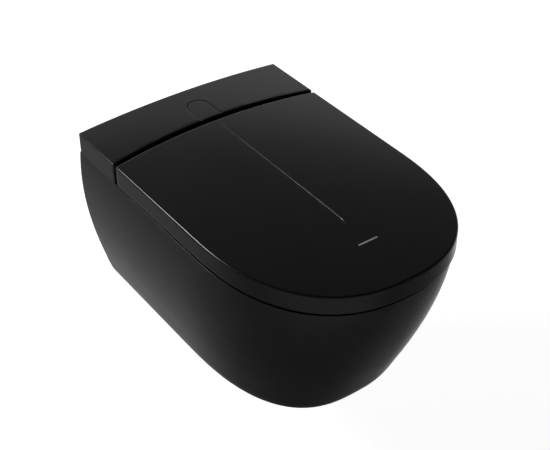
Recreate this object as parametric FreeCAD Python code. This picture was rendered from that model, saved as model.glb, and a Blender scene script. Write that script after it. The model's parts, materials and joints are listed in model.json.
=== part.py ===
import FreeCAD, Part
import math
import os

# Wall-hung shower toilet.  Millimetres, +Z up, +X to the right seen from the front, front towards -Y.
# Origin: midway between the two wall bolts, on the wall plane y = 0.

V = FreeCAD.Vector

# ---- driving sizes: overall body ----
HALF_WIDTH = 192.5          # lid, cover and pan at the top edge
BODY_LENGTH = 591.0         # wall to the front tip of the lid
STRAIGHT_SIDE = 343.0       # wall to the end of the lid's straight sides
OUTLINE_POWER = 2.385       # superellipse power of the rounded front
RIM_Z = 80.0                # top of the ceramic
TOP_EDGE_Z = 116.5          # side edge of lid and cover
CROWN = 9.5                 # rise of the lid and cover on the centre line
PAN_BOTTOM_Z = -212.0

# ---- ceramic ----
RIM_SETBACK = 4.0           # ceramic's front tip behind the lid's
RIM_LENGTH = BODY_LENGTH - RIM_SETBACK
BOTTOM_DRAWN_IN = 112.0     # how far the front tip draws in towards the bottom
STRAIGHT_DRAWN_IN = 115.0
WAIST = (0.0, 34.0, -111.0, 30.0)   # half width against depth, as a cubic added to the rim's half width
BOTTOM_ROUND = 33.0
CERAMIC_WALL = 10.0
REAR_WALL = 12.0
BOWL_WALL = 9.0
RIM_THICKNESS = 12.0
# Bowl sections: height, half width, front y, rear y.
BOWL_SECTIONS = (
    (RIM_Z + 2.0, 142.0, -541.0, -163.0),
    (58.0, 141.0, -538.0, -166.0),
    (20.0, 133.0, -520.0, -176.0),
    (-30.0, 112.0, -478.0, -190.0),
    (-80.0, 82.0, -420.0, -203.0),
    (-125.0, 56.0, -365.0, -213.0),
    (-165.0, 36.0, -325.0, -222.0),
    (-190.0, 20.0, -300.0, -240.0),
)
BOWL_POWER = 2.3

# ---- plumbing and fixing ----
BOLT_SPACING = 180.0
BOLT_HOLE_RADIUS = 9.5
SLEEVE_BORE_RADIUS = 6.5
BOLT_BOSS_DEPTH = 30.0
SLEEVE_GAP = 0.15
SLEEVE_FLANGE = (16.0, 3.0)  # radius, thickness
FLUSH_Z = 35.0
FLUSH_RADIUS = 27.5
FLUSH_DEPTH = 45.0
FLUSH_ENDS = ((0, 0, FLUSH_Z), (0, -FLUSH_DEPTH, FLUSH_Z))
FLUSH_CHANNEL_RADIUS = 16.0
FLUSH_CHANNEL_DROP = 3.0    # channel below the socket's centre line
COLLAR_WALL = 5.0
COLLAR_GAP = 0.15
DRAFT = 0.8                 # how much a cast or moulded hole narrows towards its inner end
WASTE_Z = -100.0
WASTE_RADIUS = 51.0
WASTE_BORE_RADIUS = 43.0
WASTE_START_Y = -62.0
WASTE_END_Y = -6.0
WASTE_WINDOW_RADIUS = 63.0
TRAP_RADIUS = 27.0
TRAP_BEND = 30.0
TRAP_PATH = ((0, -295, -162), (0, -200, -162), (0, -140, -52), (0, -82, WASTE_Z), (0, WASTE_START_Y, WASTE_Z))
SERVICE_X = 134.0
SERVICE_Z = 52.0
SERVICE_WINDOW_RADIUS = 20.0
SERVICE_HOLE_RADIUS = 12.4  # through the tray
PORT_RADIUS = 5.5           # every hose port
STUB_RADIUS = 8.3
GLAND_BORE_RADIUS = 4.0

# ---- technical bay and its tray ----
BAY_HALF_WIDTH = HALF_WIDTH - 20.5
BAY_REAR_Y = -12.0
BAY_FRONT_Y = -142.0
BAY_LEDGE_Z = 75.0
WELL_X = (55.0, 163.0)
WELL_Y = (-127.0, -17.0)
WELL_FLOOR_Z = 30.0
ACCESS_Y = (-34.0, -78.0)    # opening in the well floor, to reach the nut
POCKET_HALF_WIDTH = 46.0
POCKET_REAR_Y = -59.0
POCKET_FLOOR_Z = 50.0
BAY_WALL = 8.0
TRAY_GAP = 1.2
TRAY_WALL = 2.5
TRAY_PLATE = 3.2
SEAL_THICKNESS = 1.3
SEAL_WIDTH = (6.0, 3.0)      # at the sides, at the front and rear
SEAL_FRONT_GAP_Y = -100.0   # the seal's front strip stops at the pocket
TRAY_TOP_Z = BAY_LEDGE_Z + SEAL_THICKNESS + TRAY_PLATE
TRAY_FLOOR_Z = WELL_FLOOR_Z + TRAY_GAP + TRAY_WALL
POCKET_TRAY_FLOOR_Z = POCKET_FLOOR_Z + TRAY_GAP + TRAY_WALL
PLATE_X = (-BAY_HALF_WIDTH + TRAY_GAP, BAY_HALF_WIDTH - TRAY_GAP)
PLATE_Y = (BAY_FRONT_Y + TRAY_GAP, BAY_REAR_Y - TRAY_GAP)
TRAY_WELL_X = (WELL_X[0] + TRAY_GAP, WELL_X[1] - TRAY_GAP)
TRAY_WELL_Y = (WELL_Y[0] + TRAY_GAP, WELL_Y[1] - TRAY_GAP)
TRAY_POCKET_X = POCKET_HALF_WIDTH - TRAY_GAP
TRAY_POCKET_Y = (PLATE_Y[0], POCKET_REAR_Y - TRAY_GAP)
BOARD_X = (-98.0, -62.0)
BOARD_Y = (-117.0, -28.0)
BOARD_Z = 58.0
BOARD_POST_RADIUS = 3.0
SCREW_X = 50.0
SCREW_Y = (-135.5, -20.0)
SCREW_HEAD = (3.2, 2.0)      # radius, height
SCREW_SHANK = (1.8, 4.0)     # radius, depth

# ---- shells ----
COVER_WALL = 3.0
COVER_REAR_Y = -1.5
COVER_BOTTOM_Z = 80.8
COVER_EDGE_ROUND = 2.0
COVER_FRONT = (-113.5, -99.5)       # front wall: y at the corners, y on the centre line
LID_WALL = 4.0
LID_REAR = (-119.5, -109.0)         # rear wall: y at the corners, y on the centre line
LID_SKIRT_Z = (81.8, 85.4)          # lower edge of the skirt at the rear and at the front
LID_EDGE_ROUND = 3.5
LINER_Z = (105.5, 108.0)
LINER_REAR_Y = -190.0
CLIP_X = (HALF_WIDTH - 29.5, HALF_WIDTH - 23.5)
CLIP_Y = (-68.0, -52.0)
CLIP_TOP_Z = 96.0
CLIP_HOOK = 3.0
RIB_Z = (92.0, 95.0)
ARM_NOTCH = (18.0, 8.0, 90.0)        # half width, depth past the wall, top z
BADGE_SETBACK = 93.0
BADGE_Y = BADGE_SETBACK - BODY_LENGTH
BADGE_SIZE = (34.0, 3.0, 0.6)
GROOVE_WIDTH = 1.6
GROOVE_DEPTH = 0.8
GROOVE_FRONT_Y = BADGE_Y + 55.0

# ---- seat ----
SEAT_INSET = 6.5
SEAT_Z = (86.0, 103.0)
SEAT_REAR_Y = -129.0
SEAT_HOLE = (115.0, -490.0, -205.0)     # half width, front y, rear y
SEAT_ROUND = 4.0
BUMPER_GAP = 0.3
SEAT_PADS = ((165.0, -230.0), (120.0, -505.0))
SEAT_PAD_RADIUS = 9.0
LID_PADS = ((150.0, -250.0), (110.0, -500.0))
LID_PAD_RADIUS = 7.0
SEAT_HOLE_POWER = 2.4

# ---- hinges ----
PIVOT_Y = -127.0
PIVOT_Z = 105.0
BARREL_RADIUS = 24.3        # the lid's rear corner stays inside this radius
KNUCKLE_RADIUS = 7.5
BLOCK_X = (84.0, 124.0)
BLOCK_FOOT_Y = (PIVOT_Y - 14.5, PIVOT_Y - 3.5)
HINGE_SCREW_Y = PIVOT_Y - 8.5
HINGE_SCREW_RADIUS = (2.0, 3.5)     # shank, head
ARM_X = (126.0, 134.0)
LUG_X = (66.0, 82.0)
DAMPER_RADIUS = 5.2
PIN_RADIUS = 2.5
DAMPER_WALL = 5.0           # closed end of a damper's bore
RUNNING_GAP = 0.05
SIDE_GAP = 2.0

# ---- push button ----
BUTTON_RADIUS = 18.5
BUTTON_GAP = 0.8
BUTTON_CENTRE_Y = -60.0
BUTTON_TRAVEL = 2.5
BUTTON_LIP_Z = 106.2
STEM_Y = -75.0
STEM_RADIUS = 4.0
SWITCH_TOP_Z = 104.0
SWITCH_HALF = (12.0, 11.0)  # half sizes along x and y
SWITCH_LEG = (3.0, 12.0)    # half thickness, depth below the top
BUTTON_COLLAR_RADIUS = 9.0
SPRING_TOP_Z = 119.0
SPRING_RADIUS = 6.2
SPRING_WIRE_RADIUS = 0.5
SPRING_TURNS = 5
SPRING_END_GAP = 0.6

# ---- spray arm: built along -Y from its rear end, then tilted ----
SPRAY_REAR = (0.0, -26.0, 100.0)
SPRAY_TILT = 18.0
GUIDE_LENGTH = 112.0
STAGE_SIZE = (22.4, 14.4)
NOZZLE_SIZE = (16.4, 8.4)
SLIDE_GAP = 0.3
GUIDE_WALL = 3.0
GEAR_MODULE = 1.0
PINION_TEETH = 16
PINION_WIDTH = 6.0
PINION_ALONG = -60.0
SHAFT_RADIUS = 1.5
RACK_TOP_Z = -STAGE_SIZE[1] / 2
RACK_HEIGHT = 3.4
RACK_WIDTH = 6.0
PITCH_RADIUS = GEAR_MODULE * PINION_TEETH / 2
PITCH_Z = RACK_TOP_Z - RACK_HEIGHT + GEAR_MODULE
PINION_Z = PITCH_Z - PITCH_RADIUS - 0.15
MOTOR_X = (15.5, 40.0)
MOTOR_RADIUS = 8.3
HOSE_END = (24.0, -40.0, 96.0)
OUTLET_RADIUS = 0.8
OUTLET_X = (-4.0, 0.0, 4.0)

# ---- water and power units in the tray's wells ----
HEATER_X = (64.0, 114.0)
HEATER_Y = (-116.0, -48.0)
HEATER_Z = (TRAY_FLOOR_Z + 1.3, 78.0)
PORT_Y = (-75.0, -90.0)
PUMP_RADIUS = 16.0
PUMP_X = 138.0
PUMP_Y = (-116.0, -56.0)
PUMP_Z = TRAY_FLOOR_Z + PUMP_RADIUS + 1.3
VALVE_Y = (-46.0, -24.0)
HOSE_RADIUS = 4.0
HOSE_X = 90.0               # hose ports on the heater
SPRAY_PORT_Y = -64.0        # pump's outlet
SUPPLY_X = (-157.0, -104.0)
SUPPLY_Y = (-117.0, -48.0)
SUPPLY_TOP_Z = 78.0
VENT_COUNT = 5
VENT_PITCH = 9.0
BOARD_THICKNESS = 1.6
# Parts on the board: x, y, width, depth, height.
BOARD_PARTS = ((-86, -60, 14, 14, 2), (-74, -90, 10, 16, 6), (-80, -40, 20, 8, 9), (-84, -102, 12, 8, 4))


# ================= helpers =================

def box(x_range, y_range, z_range):
    """Box between two corners, each range in any order."""
    lows = [min(r) for r in (x_range, y_range, z_range)]
    spans = [abs(r[1] - r[0]) for r in (x_range, y_range, z_range)]
    return Part.makeBox(*spans, V(*lows))


def rod(radius, start, end):
    """Round bar from one point to another."""
    axis = V(*end) - V(*start)
    return Part.makeCylinder(radius, axis.Length, V(*start), axis)


def drafted_hole(radius, draft, start, end):
    """Round hole that narrows by a draft from its mouth to its inner end."""
    axis = V(*end) - V(*start)
    return Part.makeCone(radius, radius - draft, axis.Length, V(*start), axis)


def bar_x(radius, x_range, y, z):
    """Round bar along X."""
    return rod(radius, (x_range[0], y, z), (x_range[1], y, z))


def mirrored(shape):
    """The same piece on the other side of the centre plane."""
    return shape.mirror(V(0, 0, 0), V(1, 0, 0))


def both_sides(shape):
    """A piece and its mirror image, as one group of solids."""
    return Part.makeCompound([shape, mirrored(shape)])


def joined(first, *others):
    """Union without leftover seams."""
    return first.fuse(list(others)).removeSplitter()


def prism_x(points, x_range):
    """Polygon of (y, z) points extruded along X."""
    corners = [V(x_range[0], y, z) for y, z in points]
    face = Part.Face(Part.makePolygon(corners + corners[:1]))
    return face.extrude(V(x_range[1] - x_range[0], 0, 0))


def pipe(points, radius, bend):
    """Round bar along straight runs joined by tangent arcs of one bend radius."""
    spots = [V(*p) for p in points]
    edges = []
    here = spots[0]
    for before, corner, after in zip(spots, spots[1:], spots[2:]):
        into = (corner - before).normalize()
        out = (after - corner).normalize()
        turn = into.getAngle(out)
        setback = bend * math.tan(turn / 2)
        start = corner - into * setback
        end = corner + out * setback
        inward = (out - into).normalize()
        middle = corner + inward * (bend / math.cos(turn / 2) - bend)
        edges.append(Part.LineSegment(here, start).toShape())
        edges.append(Part.Arc(start, middle, end).toShape())
        here = end
    edges.append(Part.LineSegment(here, spots[-1]).toShape())
    profile = Part.Wire(Part.makeCircle(radius, spots[0], (spots[1] - spots[0])))
    return Part.Wire(edges).makePipeShell([profile], True, False)


def superellipse(angle, half_width, reach, power):
    """Quarter-outline point: (across, along) at an angle from the widest place."""
    across = half_width * max(math.cos(angle), 0.0) ** (2 / power)
    along = reach * math.sin(angle) ** (2 / power)
    return across, along


def front_edge(half_width, straight, length, power, z):
    """Rounded front of the outline, from the right side round to the left."""
    steps = 16
    right = []
    for i in range(steps + 1):
        across, along = superellipse(math.pi / 2 * i / steps, half_width, length - straight, power)
        right.append(V(across, -straight - along, z))
    right[-1] = V(0, -length, z)
    left = [V(-p.x, p.y, z) for p in reversed(right[:-1])]
    curve = Part.BSplineCurve()
    curve.interpolate(Points=right + left, InitialTangent=V(0, -1, 0), FinalTangent=V(0, 1, 0))
    return curve.toShape()


def outline_prism(inset, rear, z_range):
    """Lid outline drawn in by an inset, with an arched rear edge, extruded upwards."""
    half = HALF_WIDTH - inset
    corner_y, middle_y = rear
    z = z_range[0]
    front = front_edge(half, STRAIGHT_SIDE, BODY_LENGTH - inset, OUTLINE_POWER, z)
    right = Part.makeLine(V(half, corner_y, z), V(half, -STRAIGHT_SIDE, z))
    left = Part.makeLine(V(-half, -STRAIGHT_SIDE, z), V(-half, corner_y, z))
    back = rear_edge(half, corner_y, middle_y, z)
    face = Part.Face(Part.Wire([right, front, left, back]))
    return face.extrude(V(0, 0, z_range[1] - z))


def rear_edge(half, corner_y, middle_y, z):
    """Straight or arched edge from the left corner to the right one."""
    left, right = V(-half, corner_y, z), V(half, corner_y, z)
    if corner_y == middle_y:
        return Part.makeLine(left, right)
    return Part.Arc(left, V(0, middle_y, z), right).toShape()


def crown_z(x, y):
    """Height of the crowned top over a plan point."""
    across = abs(x) / HALF_WIDTH
    along = max(0.0, -y - STRAIGHT_SIDE) / (BODY_LENGTH - STRAIGHT_SIDE)
    reach = (across ** OUTLINE_POWER + along ** OUTLINE_POWER) ** (2 / OUTLINE_POWER)
    return TOP_EDGE_Z + CROWN * (1 - reach)


def under_crown(drop):
    """Solid below the crowned top, lowered by a wall thickness."""
    count = 15
    overhang = 8.0
    rows = []
    for i in range(count):
        x = (HALF_WIDTH + overhang) * (2 * i / (count - 1) - 1)
        ys = [overhang - (BODY_LENGTH + 2 * overhang) * j / (count - 1) for j in range(count)]
        rows.append([V(x, y, crown_z(x, y) - drop) for y in ys])
    surface = Part.BSplineSurface()
    surface.interpolate(rows)
    return surface.toShape().extrude(V(0, 0, PAN_BOTTOM_Z))


def rounded_edges(solid, radius, wanted):
    """Fillet the edges that a test picks out."""
    return solid.makeFillet(radius, [edge for edge in solid.Edges if wanted(edge)])


# ================= ceramic pan =================

def hull_row(z, inset, draw, rear_y):
    """Points of the pan's outline at one height, right rear corner to left rear corner."""
    depth = max(0.0, (RIM_Z - z) / (RIM_Z - PAN_BOTTOM_Z))
    half = HALF_WIDTH + sum(c * depth ** k for k, c in enumerate(WAIST)) - inset - draw
    length = RIM_LENGTH - BOTTOM_DRAWN_IN * depth ** 1.36 - inset - 1.6 * draw
    straight = STRAIGHT_SIDE - STRAIGHT_DRAWN_IN * depth ** 0.8
    power = 2.34 + 0.36 * depth
    side_steps = 7
    right = [V(half, rear_y - (straight + rear_y) * i / side_steps, z) for i in range(side_steps)]
    steps = 16
    for i in range(steps + 1):
        across, along = superellipse(math.pi / 2 * i / steps, half, length - straight, power)
        right.append(V(across, -straight - along, z))
    right[-1] = V(0, -length, z)
    return right + [V(-p.x, p.y, z) for p in reversed(right[:-1])]


def hull(inset, top_z, bottom_z, rear_y):
    """Closed body of the pan, drawn in by an inset."""
    round_radius = BOTTOM_ROUND - inset
    side_rows = 9
    round_rows = 6
    rows = []
    for i in range(side_rows):
        z = top_z + (bottom_z + round_radius - top_z) * i / (side_rows - 1)
        rows.append(hull_row(z, inset, 0.0, rear_y))
    for i in range(1, round_rows + 1):
        angle = math.pi / 2 * i / round_rows
        z = bottom_z + round_radius * (1 - math.sin(angle))
        rows.append(hull_row(z, inset, round_radius * (1 - math.cos(angle)), rear_y))
    surface = Part.BSplineSurface()
    surface.interpolate([list(column) for column in zip(*rows)])
    u0, u1, v0, v1 = surface.bounds()
    upper, lower = surface.vIso(v0).toShape(), surface.vIso(v1).toShape()
    right, left = surface.uIso(u0).toShape(), surface.uIso(u1).toShape()
    upper_line = Part.makeLine(upper.Vertexes[0].Point, upper.Vertexes[-1].Point)
    lower_line = Part.makeLine(lower.Vertexes[0].Point, lower.Vertexes[-1].Point)
    faces = [surface.toShape()]
    for edges in ([upper, upper_line], [lower, lower_line], [upper_line, right, lower_line, left]):
        faces.append(Part.Face(Part.Wire(Part.__sortEdges__(edges))))
    shell = Part.makeShell(faces)
    shell.sewShape()
    solid = Part.Solid(shell)
    if solid.Volume < 0:
        solid.reverse()
    return solid


def bowl(wall):
    """Inside of the bowl, or its outside when a wall is given."""
    loops = []
    count = 40
    for z, half, front_y, rear_y in BOWL_SECTIONS:
        centre_y = (front_y + rear_y) / 2
        reach = (rear_y - front_y) / 2 + wall
        points = []
        for i in range(count):
            angle = 2 * math.pi * i / count
            c, s = math.cos(angle), math.sin(angle)
            across = math.copysign(abs(c) ** (2 / BOWL_POWER), c) * (half + wall)
            along = math.copysign(abs(s) ** (2 / BOWL_POWER), s) * reach
            points.append(V(across, centre_y + along, z - wall if z < RIM_Z else z))
        curve = Part.BSplineCurve()
        curve.interpolate(Points=points, PeriodicFlag=True)
        loops.append(Part.Wire(curve.toShape()))
    return Part.makeLoft(loops, True, False)


def trapway(radius):
    """Water trap from the sump over the weir to the waste outlet."""
    return pipe(TRAP_PATH, radius, TRAP_BEND)


def ceramic_pan():
    outside = hull(0.0, RIM_Z, PAN_BOTTOM_Z, 0.0)
    hollow = hull(CERAMIC_WALL, RIM_Z - RIM_THICKNESS, PAN_BOTTOM_Z + CERAMIC_WALL, -REAR_WALL)
    bay_half = BAY_HALF_WIDTH + BAY_WALL
    bay = box((-bay_half, bay_half), (0, BAY_FRONT_Y - BAY_WALL), (WELL_FLOOR_Z - BAY_WALL, RIM_Z))
    pan = outside.cut(hollow)
    for block in (bowl(BOWL_WALL), trapway(TRAP_RADIUS + BOWL_WALL), bay):
        pan = pan.fuse(block.common(outside))
    pan = pan.cut(bowl(0.0)).cut(trapway(TRAP_RADIUS))
    pan = pan.cut(rod(WASTE_WINDOW_RADIUS, (0, 1, WASTE_Z), (0, -REAR_WALL - 1, WASTE_Z)))
    socket_radius = FLUSH_RADIUS + COLLAR_WALL + BAY_WALL
    channel_z = FLUSH_Z - FLUSH_CHANNEL_DROP
    tubes = [rod(socket_radius, (0, 0, FLUSH_Z), (0, -FLUSH_DEPTH - BAY_WALL, FLUSH_Z)).common(outside),
             rod(FLUSH_CHANNEL_RADIUS + BAY_WALL, (0, -FLUSH_DEPTH, channel_z), (0, -172, 14)),
             rod(WASTE_RADIUS, (0, WASTE_START_Y, WASTE_Z), (0, WASTE_END_Y, WASTE_Z))]
    for side in (-1, 1):
        x = side * BOLT_SPACING / 2
        tubes.append(rod(BOLT_HOLE_RADIUS + CERAMIC_WALL, (x, 0, 0), (x, -BOLT_BOSS_DEPTH, 0)))
    for piece in tubes:
        pan = pan.fuse(piece)
    for cut in pan_cuts():
        pan = pan.cut(cut)
    return pan.removeSplitter()


def pan_cuts():
    """Waterways, bay and holes to be taken out of the ceramic."""
    cuts = [rod(WASTE_BORE_RADIUS, (0, 1, WASTE_Z), (0, WASTE_START_Y + BAY_WALL, WASTE_Z))]
    cuts.append(drafted_hole(FLUSH_RADIUS + COLLAR_WALL, DRAFT, *FLUSH_ENDS))
    cuts.append(rod(FLUSH_CHANNEL_RADIUS, (0, -FLUSH_DEPTH + 2, FLUSH_Z - FLUSH_CHANNEL_DROP), (0, -200, 9)))
    bay_x, pocket_x = (-BAY_HALF_WIDTH, BAY_HALF_WIDTH), (-POCKET_HALF_WIDTH, POCKET_HALF_WIDTH)
    cuts.append(box(bay_x, (BAY_REAR_Y, BAY_FRONT_Y), (BAY_LEDGE_Z, RIM_Z + 1)))
    cuts.append(box(pocket_x, (POCKET_REAR_Y, -190), (POCKET_FLOOR_Z, RIM_Z + 1)))
    for side in (-1, 1):
        x = side * BOLT_SPACING / 2
        cuts.append(box([side * x_end for x_end in WELL_X], WELL_Y, (WELL_FLOOR_Z, RIM_Z)))
        cuts.append(rod(BOLT_HOLE_RADIUS, (x, 1, 0), (x, -BOLT_BOSS_DEPTH - 1, 0)))
        access_z = (WELL_FLOOR_Z - BAY_WALL - 1, WELL_FLOOR_Z + 1)
        cuts.append(box((x - 20, x + 20), ACCESS_Y, access_z))
        x = side * SERVICE_X
        cuts.append(drafted_hole(SERVICE_WINDOW_RADIUS, DRAFT, (x, 0, SERVICE_Z), (x, -20, SERVICE_Z)))
    cuts.append(arm_passage(3.0, 95))
    return cuts


def flush_collar():
    """Rubber collar in the tapered socket, with the bore that the flush pipe pushes into."""
    outer = drafted_hole(FLUSH_RADIUS + COLLAR_WALL - COLLAR_GAP, DRAFT, *FLUSH_ENDS)
    return outer.cut(rod(FLUSH_RADIUS, *FLUSH_ENDS))


def fixing_sleeves():
    x = BOLT_SPACING / 2
    outer = BOLT_HOLE_RADIUS - SLEEVE_GAP
    flange_radius, flange_thickness = SLEEVE_FLANGE
    flange_end = -BOLT_BOSS_DEPTH - flange_thickness
    body = joined(rod(outer, (x, 0, 0), (x, -BOLT_BOSS_DEPTH, 0)),
                  rod(flange_radius, (x, -BOLT_BOSS_DEPTH, 0), (x, flange_end, 0)))
    return both_sides(body.cut(rod(SLEEVE_BORE_RADIUS, (x, 0, 0), (x, flange_end - 2, 0))))


# ================= technical tray =================

def shrink(span, wall):
    """A range drawn in by a wall at both ends."""
    return min(span) + wall, max(span) - wall


def board_corners():
    """Places of the control board's four posts."""
    inset = BOARD_POST_RADIUS + 1
    return [(x, y) for x in shrink(BOARD_X, inset) for y in shrink(BOARD_Y, inset)]


def base_tray():
    plate = box(PLATE_X, PLATE_Y, (TRAY_TOP_Z - TRAY_PLATE, TRAY_TOP_Z))
    solids = [plate]
    holes = []
    for side in (-1, 1):
        well_x = [side * x for x in TRAY_WELL_X]
        solids.append(box(well_x, TRAY_WELL_Y, (WELL_FLOOR_Z + TRAY_GAP, TRAY_TOP_Z)))
        holes.append(box(shrink(well_x, TRAY_WALL), shrink(TRAY_WELL_Y, TRAY_WALL),
                         (TRAY_FLOOR_Z, TRAY_TOP_Z + 1)))
        x = side * SERVICE_X
        holes.append(drafted_hole(SERVICE_HOLE_RADIUS, DRAFT, (x, -15, SERVICE_Z), (x, -22, SERVICE_Z)))
    pocket_x = (-TRAY_POCKET_X, TRAY_POCKET_X)
    solids.append(box(pocket_x, TRAY_POCKET_Y, (POCKET_FLOOR_Z + TRAY_GAP, TRAY_TOP_Z)))
    holes.append(box(shrink(pocket_x, TRAY_WALL), shrink(TRAY_POCKET_Y, TRAY_WALL),
                     (POCKET_TRAY_FLOOR_Z, TRAY_TOP_Z + 1)))
    holes.append(arm_passage(1.5, 25))
    holes.append(tilted(beam(STAGE_SIZE, SLIDE_GAP + GUIDE_WALL + TRAY_GAP, (0, -GUIDE_LENGTH))))
    holes.append(hinge_screws())
    holes.append(tray_screws())
    tray = solids[0].fuse(solids[1:]).cut(holes)
    posts = [rod(BOARD_POST_RADIUS, (x, y, TRAY_FLOOR_Z), (x, y, BOARD_Z)) for x, y in board_corners()]
    return tray.fuse(posts).removeSplitter()


def tray_seal():
    z_range = (BAY_LEDGE_Z, BAY_LEDGE_Z + SEAL_THICKNESS)
    ring = box(PLATE_X, PLATE_Y, z_range)
    ring = ring.cut(box(shrink(PLATE_X, SEAL_WIDTH[0]), shrink(PLATE_Y, SEAL_WIDTH[1]), z_range))
    return ring.cut(box((-POCKET_HALF_WIDTH, POCKET_HALF_WIDTH), (BAY_FRONT_Y, SEAL_FRONT_GAP_Y), z_range))


def tray_screws():
    screws = []
    for x in (-SCREW_X, SCREW_X):
        for y in SCREW_Y:
            shank = rod(SCREW_SHANK[0], (x, y, TRAY_TOP_Z - SCREW_SHANK[1]), (x, y, TRAY_TOP_Z))
            head = rod(SCREW_HEAD[0], (x, y, TRAY_TOP_Z), (x, y, TRAY_TOP_Z + SCREW_HEAD[1]))
            screws.append(shank.fuse(head))
    return Part.makeCompound(screws)


# ================= rear cover and button =================

def cover_block(inset, z_range):
    """Cover's plan shape drawn in by an inset, under the crowned top."""
    half = HALF_WIDTH - inset
    corner_y, middle_y = COVER_FRONT[0] + inset, COVER_FRONT[1] + inset
    rear_y = COVER_REAR_Y - inset
    z = z_range[0]
    edges = [rear_edge(half, corner_y, middle_y, z),
             Part.makeLine(V(half, corner_y, z), V(half, rear_y, z)),
             Part.makeLine(V(half, rear_y, z), V(-half, rear_y, z)),
             Part.makeLine(V(-half, rear_y, z), V(-half, corner_y, z))]
    block = Part.Face(Part.Wire(edges)).extrude(V(0, 0, z_range[1] - z))
    return block.common(under_crown(inset))


def cover_shell():
    """Whole cover with its button still attached."""
    outer = cover_block(0.0, (COVER_BOTTOM_Z, TOP_EDGE_Z + 20))
    outer = rounded_edges(outer, COVER_EDGE_ROUND, lambda e: e.BoundBox.ZMin > TOP_EDGE_Z - 1)
    return outer.cut(cover_block(COVER_WALL, (COVER_BOTTOM_Z - 5, TOP_EDGE_Z + 20)))


def tongue(radius, lip_z):
    """U-shaped tongue that runs out through the cover's front edge."""
    z_range = (lip_z, TOP_EDGE_Z + 30)
    round_end = rod(radius, (0, BUTTON_CENTRE_Y, z_range[0]), (0, BUTTON_CENTRE_Y, z_range[1]))
    return round_end.fuse(box((-radius, radius), (BUTTON_CENTRE_Y, COVER_FRONT[0] - 10), z_range))


def rear_cover(shell):
    cover = shell.cut(tongue(BUTTON_RADIUS + BUTTON_GAP, BUTTON_LIP_Z - BUTTON_TRAVEL - 0.3))
    half, depth, top_z = ARM_NOTCH
    notch_y = (COVER_FRONT[0], COVER_FRONT[1] + depth)
    cover = cover.cut(box((-half, half), notch_y, (COVER_BOTTOM_Z - 1, top_z)))
    rib_x = (CLIP_X[1] + 0.5, HALF_WIDTH - COVER_WALL + 0.5)
    rib_y = (CLIP_Y[0] - 2, CLIP_Y[1] + 2)
    ribs = [box([side * x for x in rib_x], rib_y, RIB_Z) for side in (-1, 1)]
    return cover.fuse(ribs).removeSplitter()

def cover_clips():
    post = box(CLIP_X, CLIP_Y, (TRAY_TOP_Z, CLIP_TOP_Z))
    hook = box((CLIP_X[0], CLIP_X[1] + CLIP_HOOK), CLIP_Y, (CLIP_TOP_Z, CLIP_TOP_Z + CLIP_HOOK))
    return both_sides(joined(post, hook))


def push_button(shell):
    cap = shell.common(tongue(BUTTON_RADIUS, BUTTON_LIP_Z))
    top_z = crown_z(0, STEM_Y) - COVER_WALL + 0.5
    stem = rod(STEM_RADIUS, (0, STEM_Y, SWITCH_TOP_Z + 4), (0, STEM_Y, top_z))
    collar = rod(BUTTON_COLLAR_RADIUS, (0, STEM_Y, SPRING_TOP_Z), (0, STEM_Y, top_z))
    return joined(cap, stem, collar)


def button_spring():
    """Compression spring round the stem, built from equal half turns."""
    height = SPRING_TOP_Z - SWITCH_TOP_Z - 2 * SPRING_END_GAP
    pitch = height / SPRING_TURNS
    coil = Part.makeHelix(pitch, pitch / 2, SPRING_RADIUS).Edges[0]
    start = coil.FirstParameter
    profile = Part.Wire(Part.makeCircle(SPRING_WIRE_RADIUS, coil.valueAt(start), coil.tangentAt(start)))
    half_turn = Part.Wire(coil).makePipeShell([profile], True, True)
    pieces = []
    for i in range(2 * SPRING_TURNS):
        piece = half_turn.copy()
        piece.rotate(V(0, 0, 0), V(0, 0, 1), 180.0 * i)
        piece.translate(V(0, STEM_Y, SWITCH_TOP_Z + SPRING_END_GAP + pitch / 2 * i))
        pieces.append(piece)
    return pieces[0].fuse(pieces[1:])


def button_switch():
    half_x, half_y = SWITCH_HALF
    leg_half, leg_depth = SWITCH_LEG
    foot_z = SWITCH_TOP_Z - 4
    body = box((-half_x, half_x), (STEM_Y - half_y, STEM_Y + half_y), (foot_z, SWITCH_TOP_Z))
    legs = box((-half_x, half_x), (STEM_Y - leg_half, STEM_Y + leg_half), (SWITCH_TOP_Z - leg_depth, foot_z))
    plunger = rod(2.0, (0, STEM_Y, SWITCH_TOP_Z), (0, STEM_Y, SWITCH_TOP_Z + 1))
    guide = tilted(box((-40, 40), (10, -GUIDE_LENGTH), (-30, STAGE_SIZE[1] / 2 + SLIDE_GAP + GUIDE_WALL)))
    return joined(body, legs, plunger).cut(guide)


# ================= lid =================

def above_skirt():
    """Everything above the lid's sloping lower edge."""
    rear_z, front_z = LID_SKIRT_Z
    far_y = -BODY_LENGTH - 10
    top_z = TOP_EDGE_Z + 40
    points = [(0, rear_z), (LID_REAR[0], rear_z), (far_y, front_z), (far_y, top_z), (0, top_z)]
    return prism_x(points, (-HALF_WIDTH - 10, HALF_WIDTH + 10))


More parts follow.
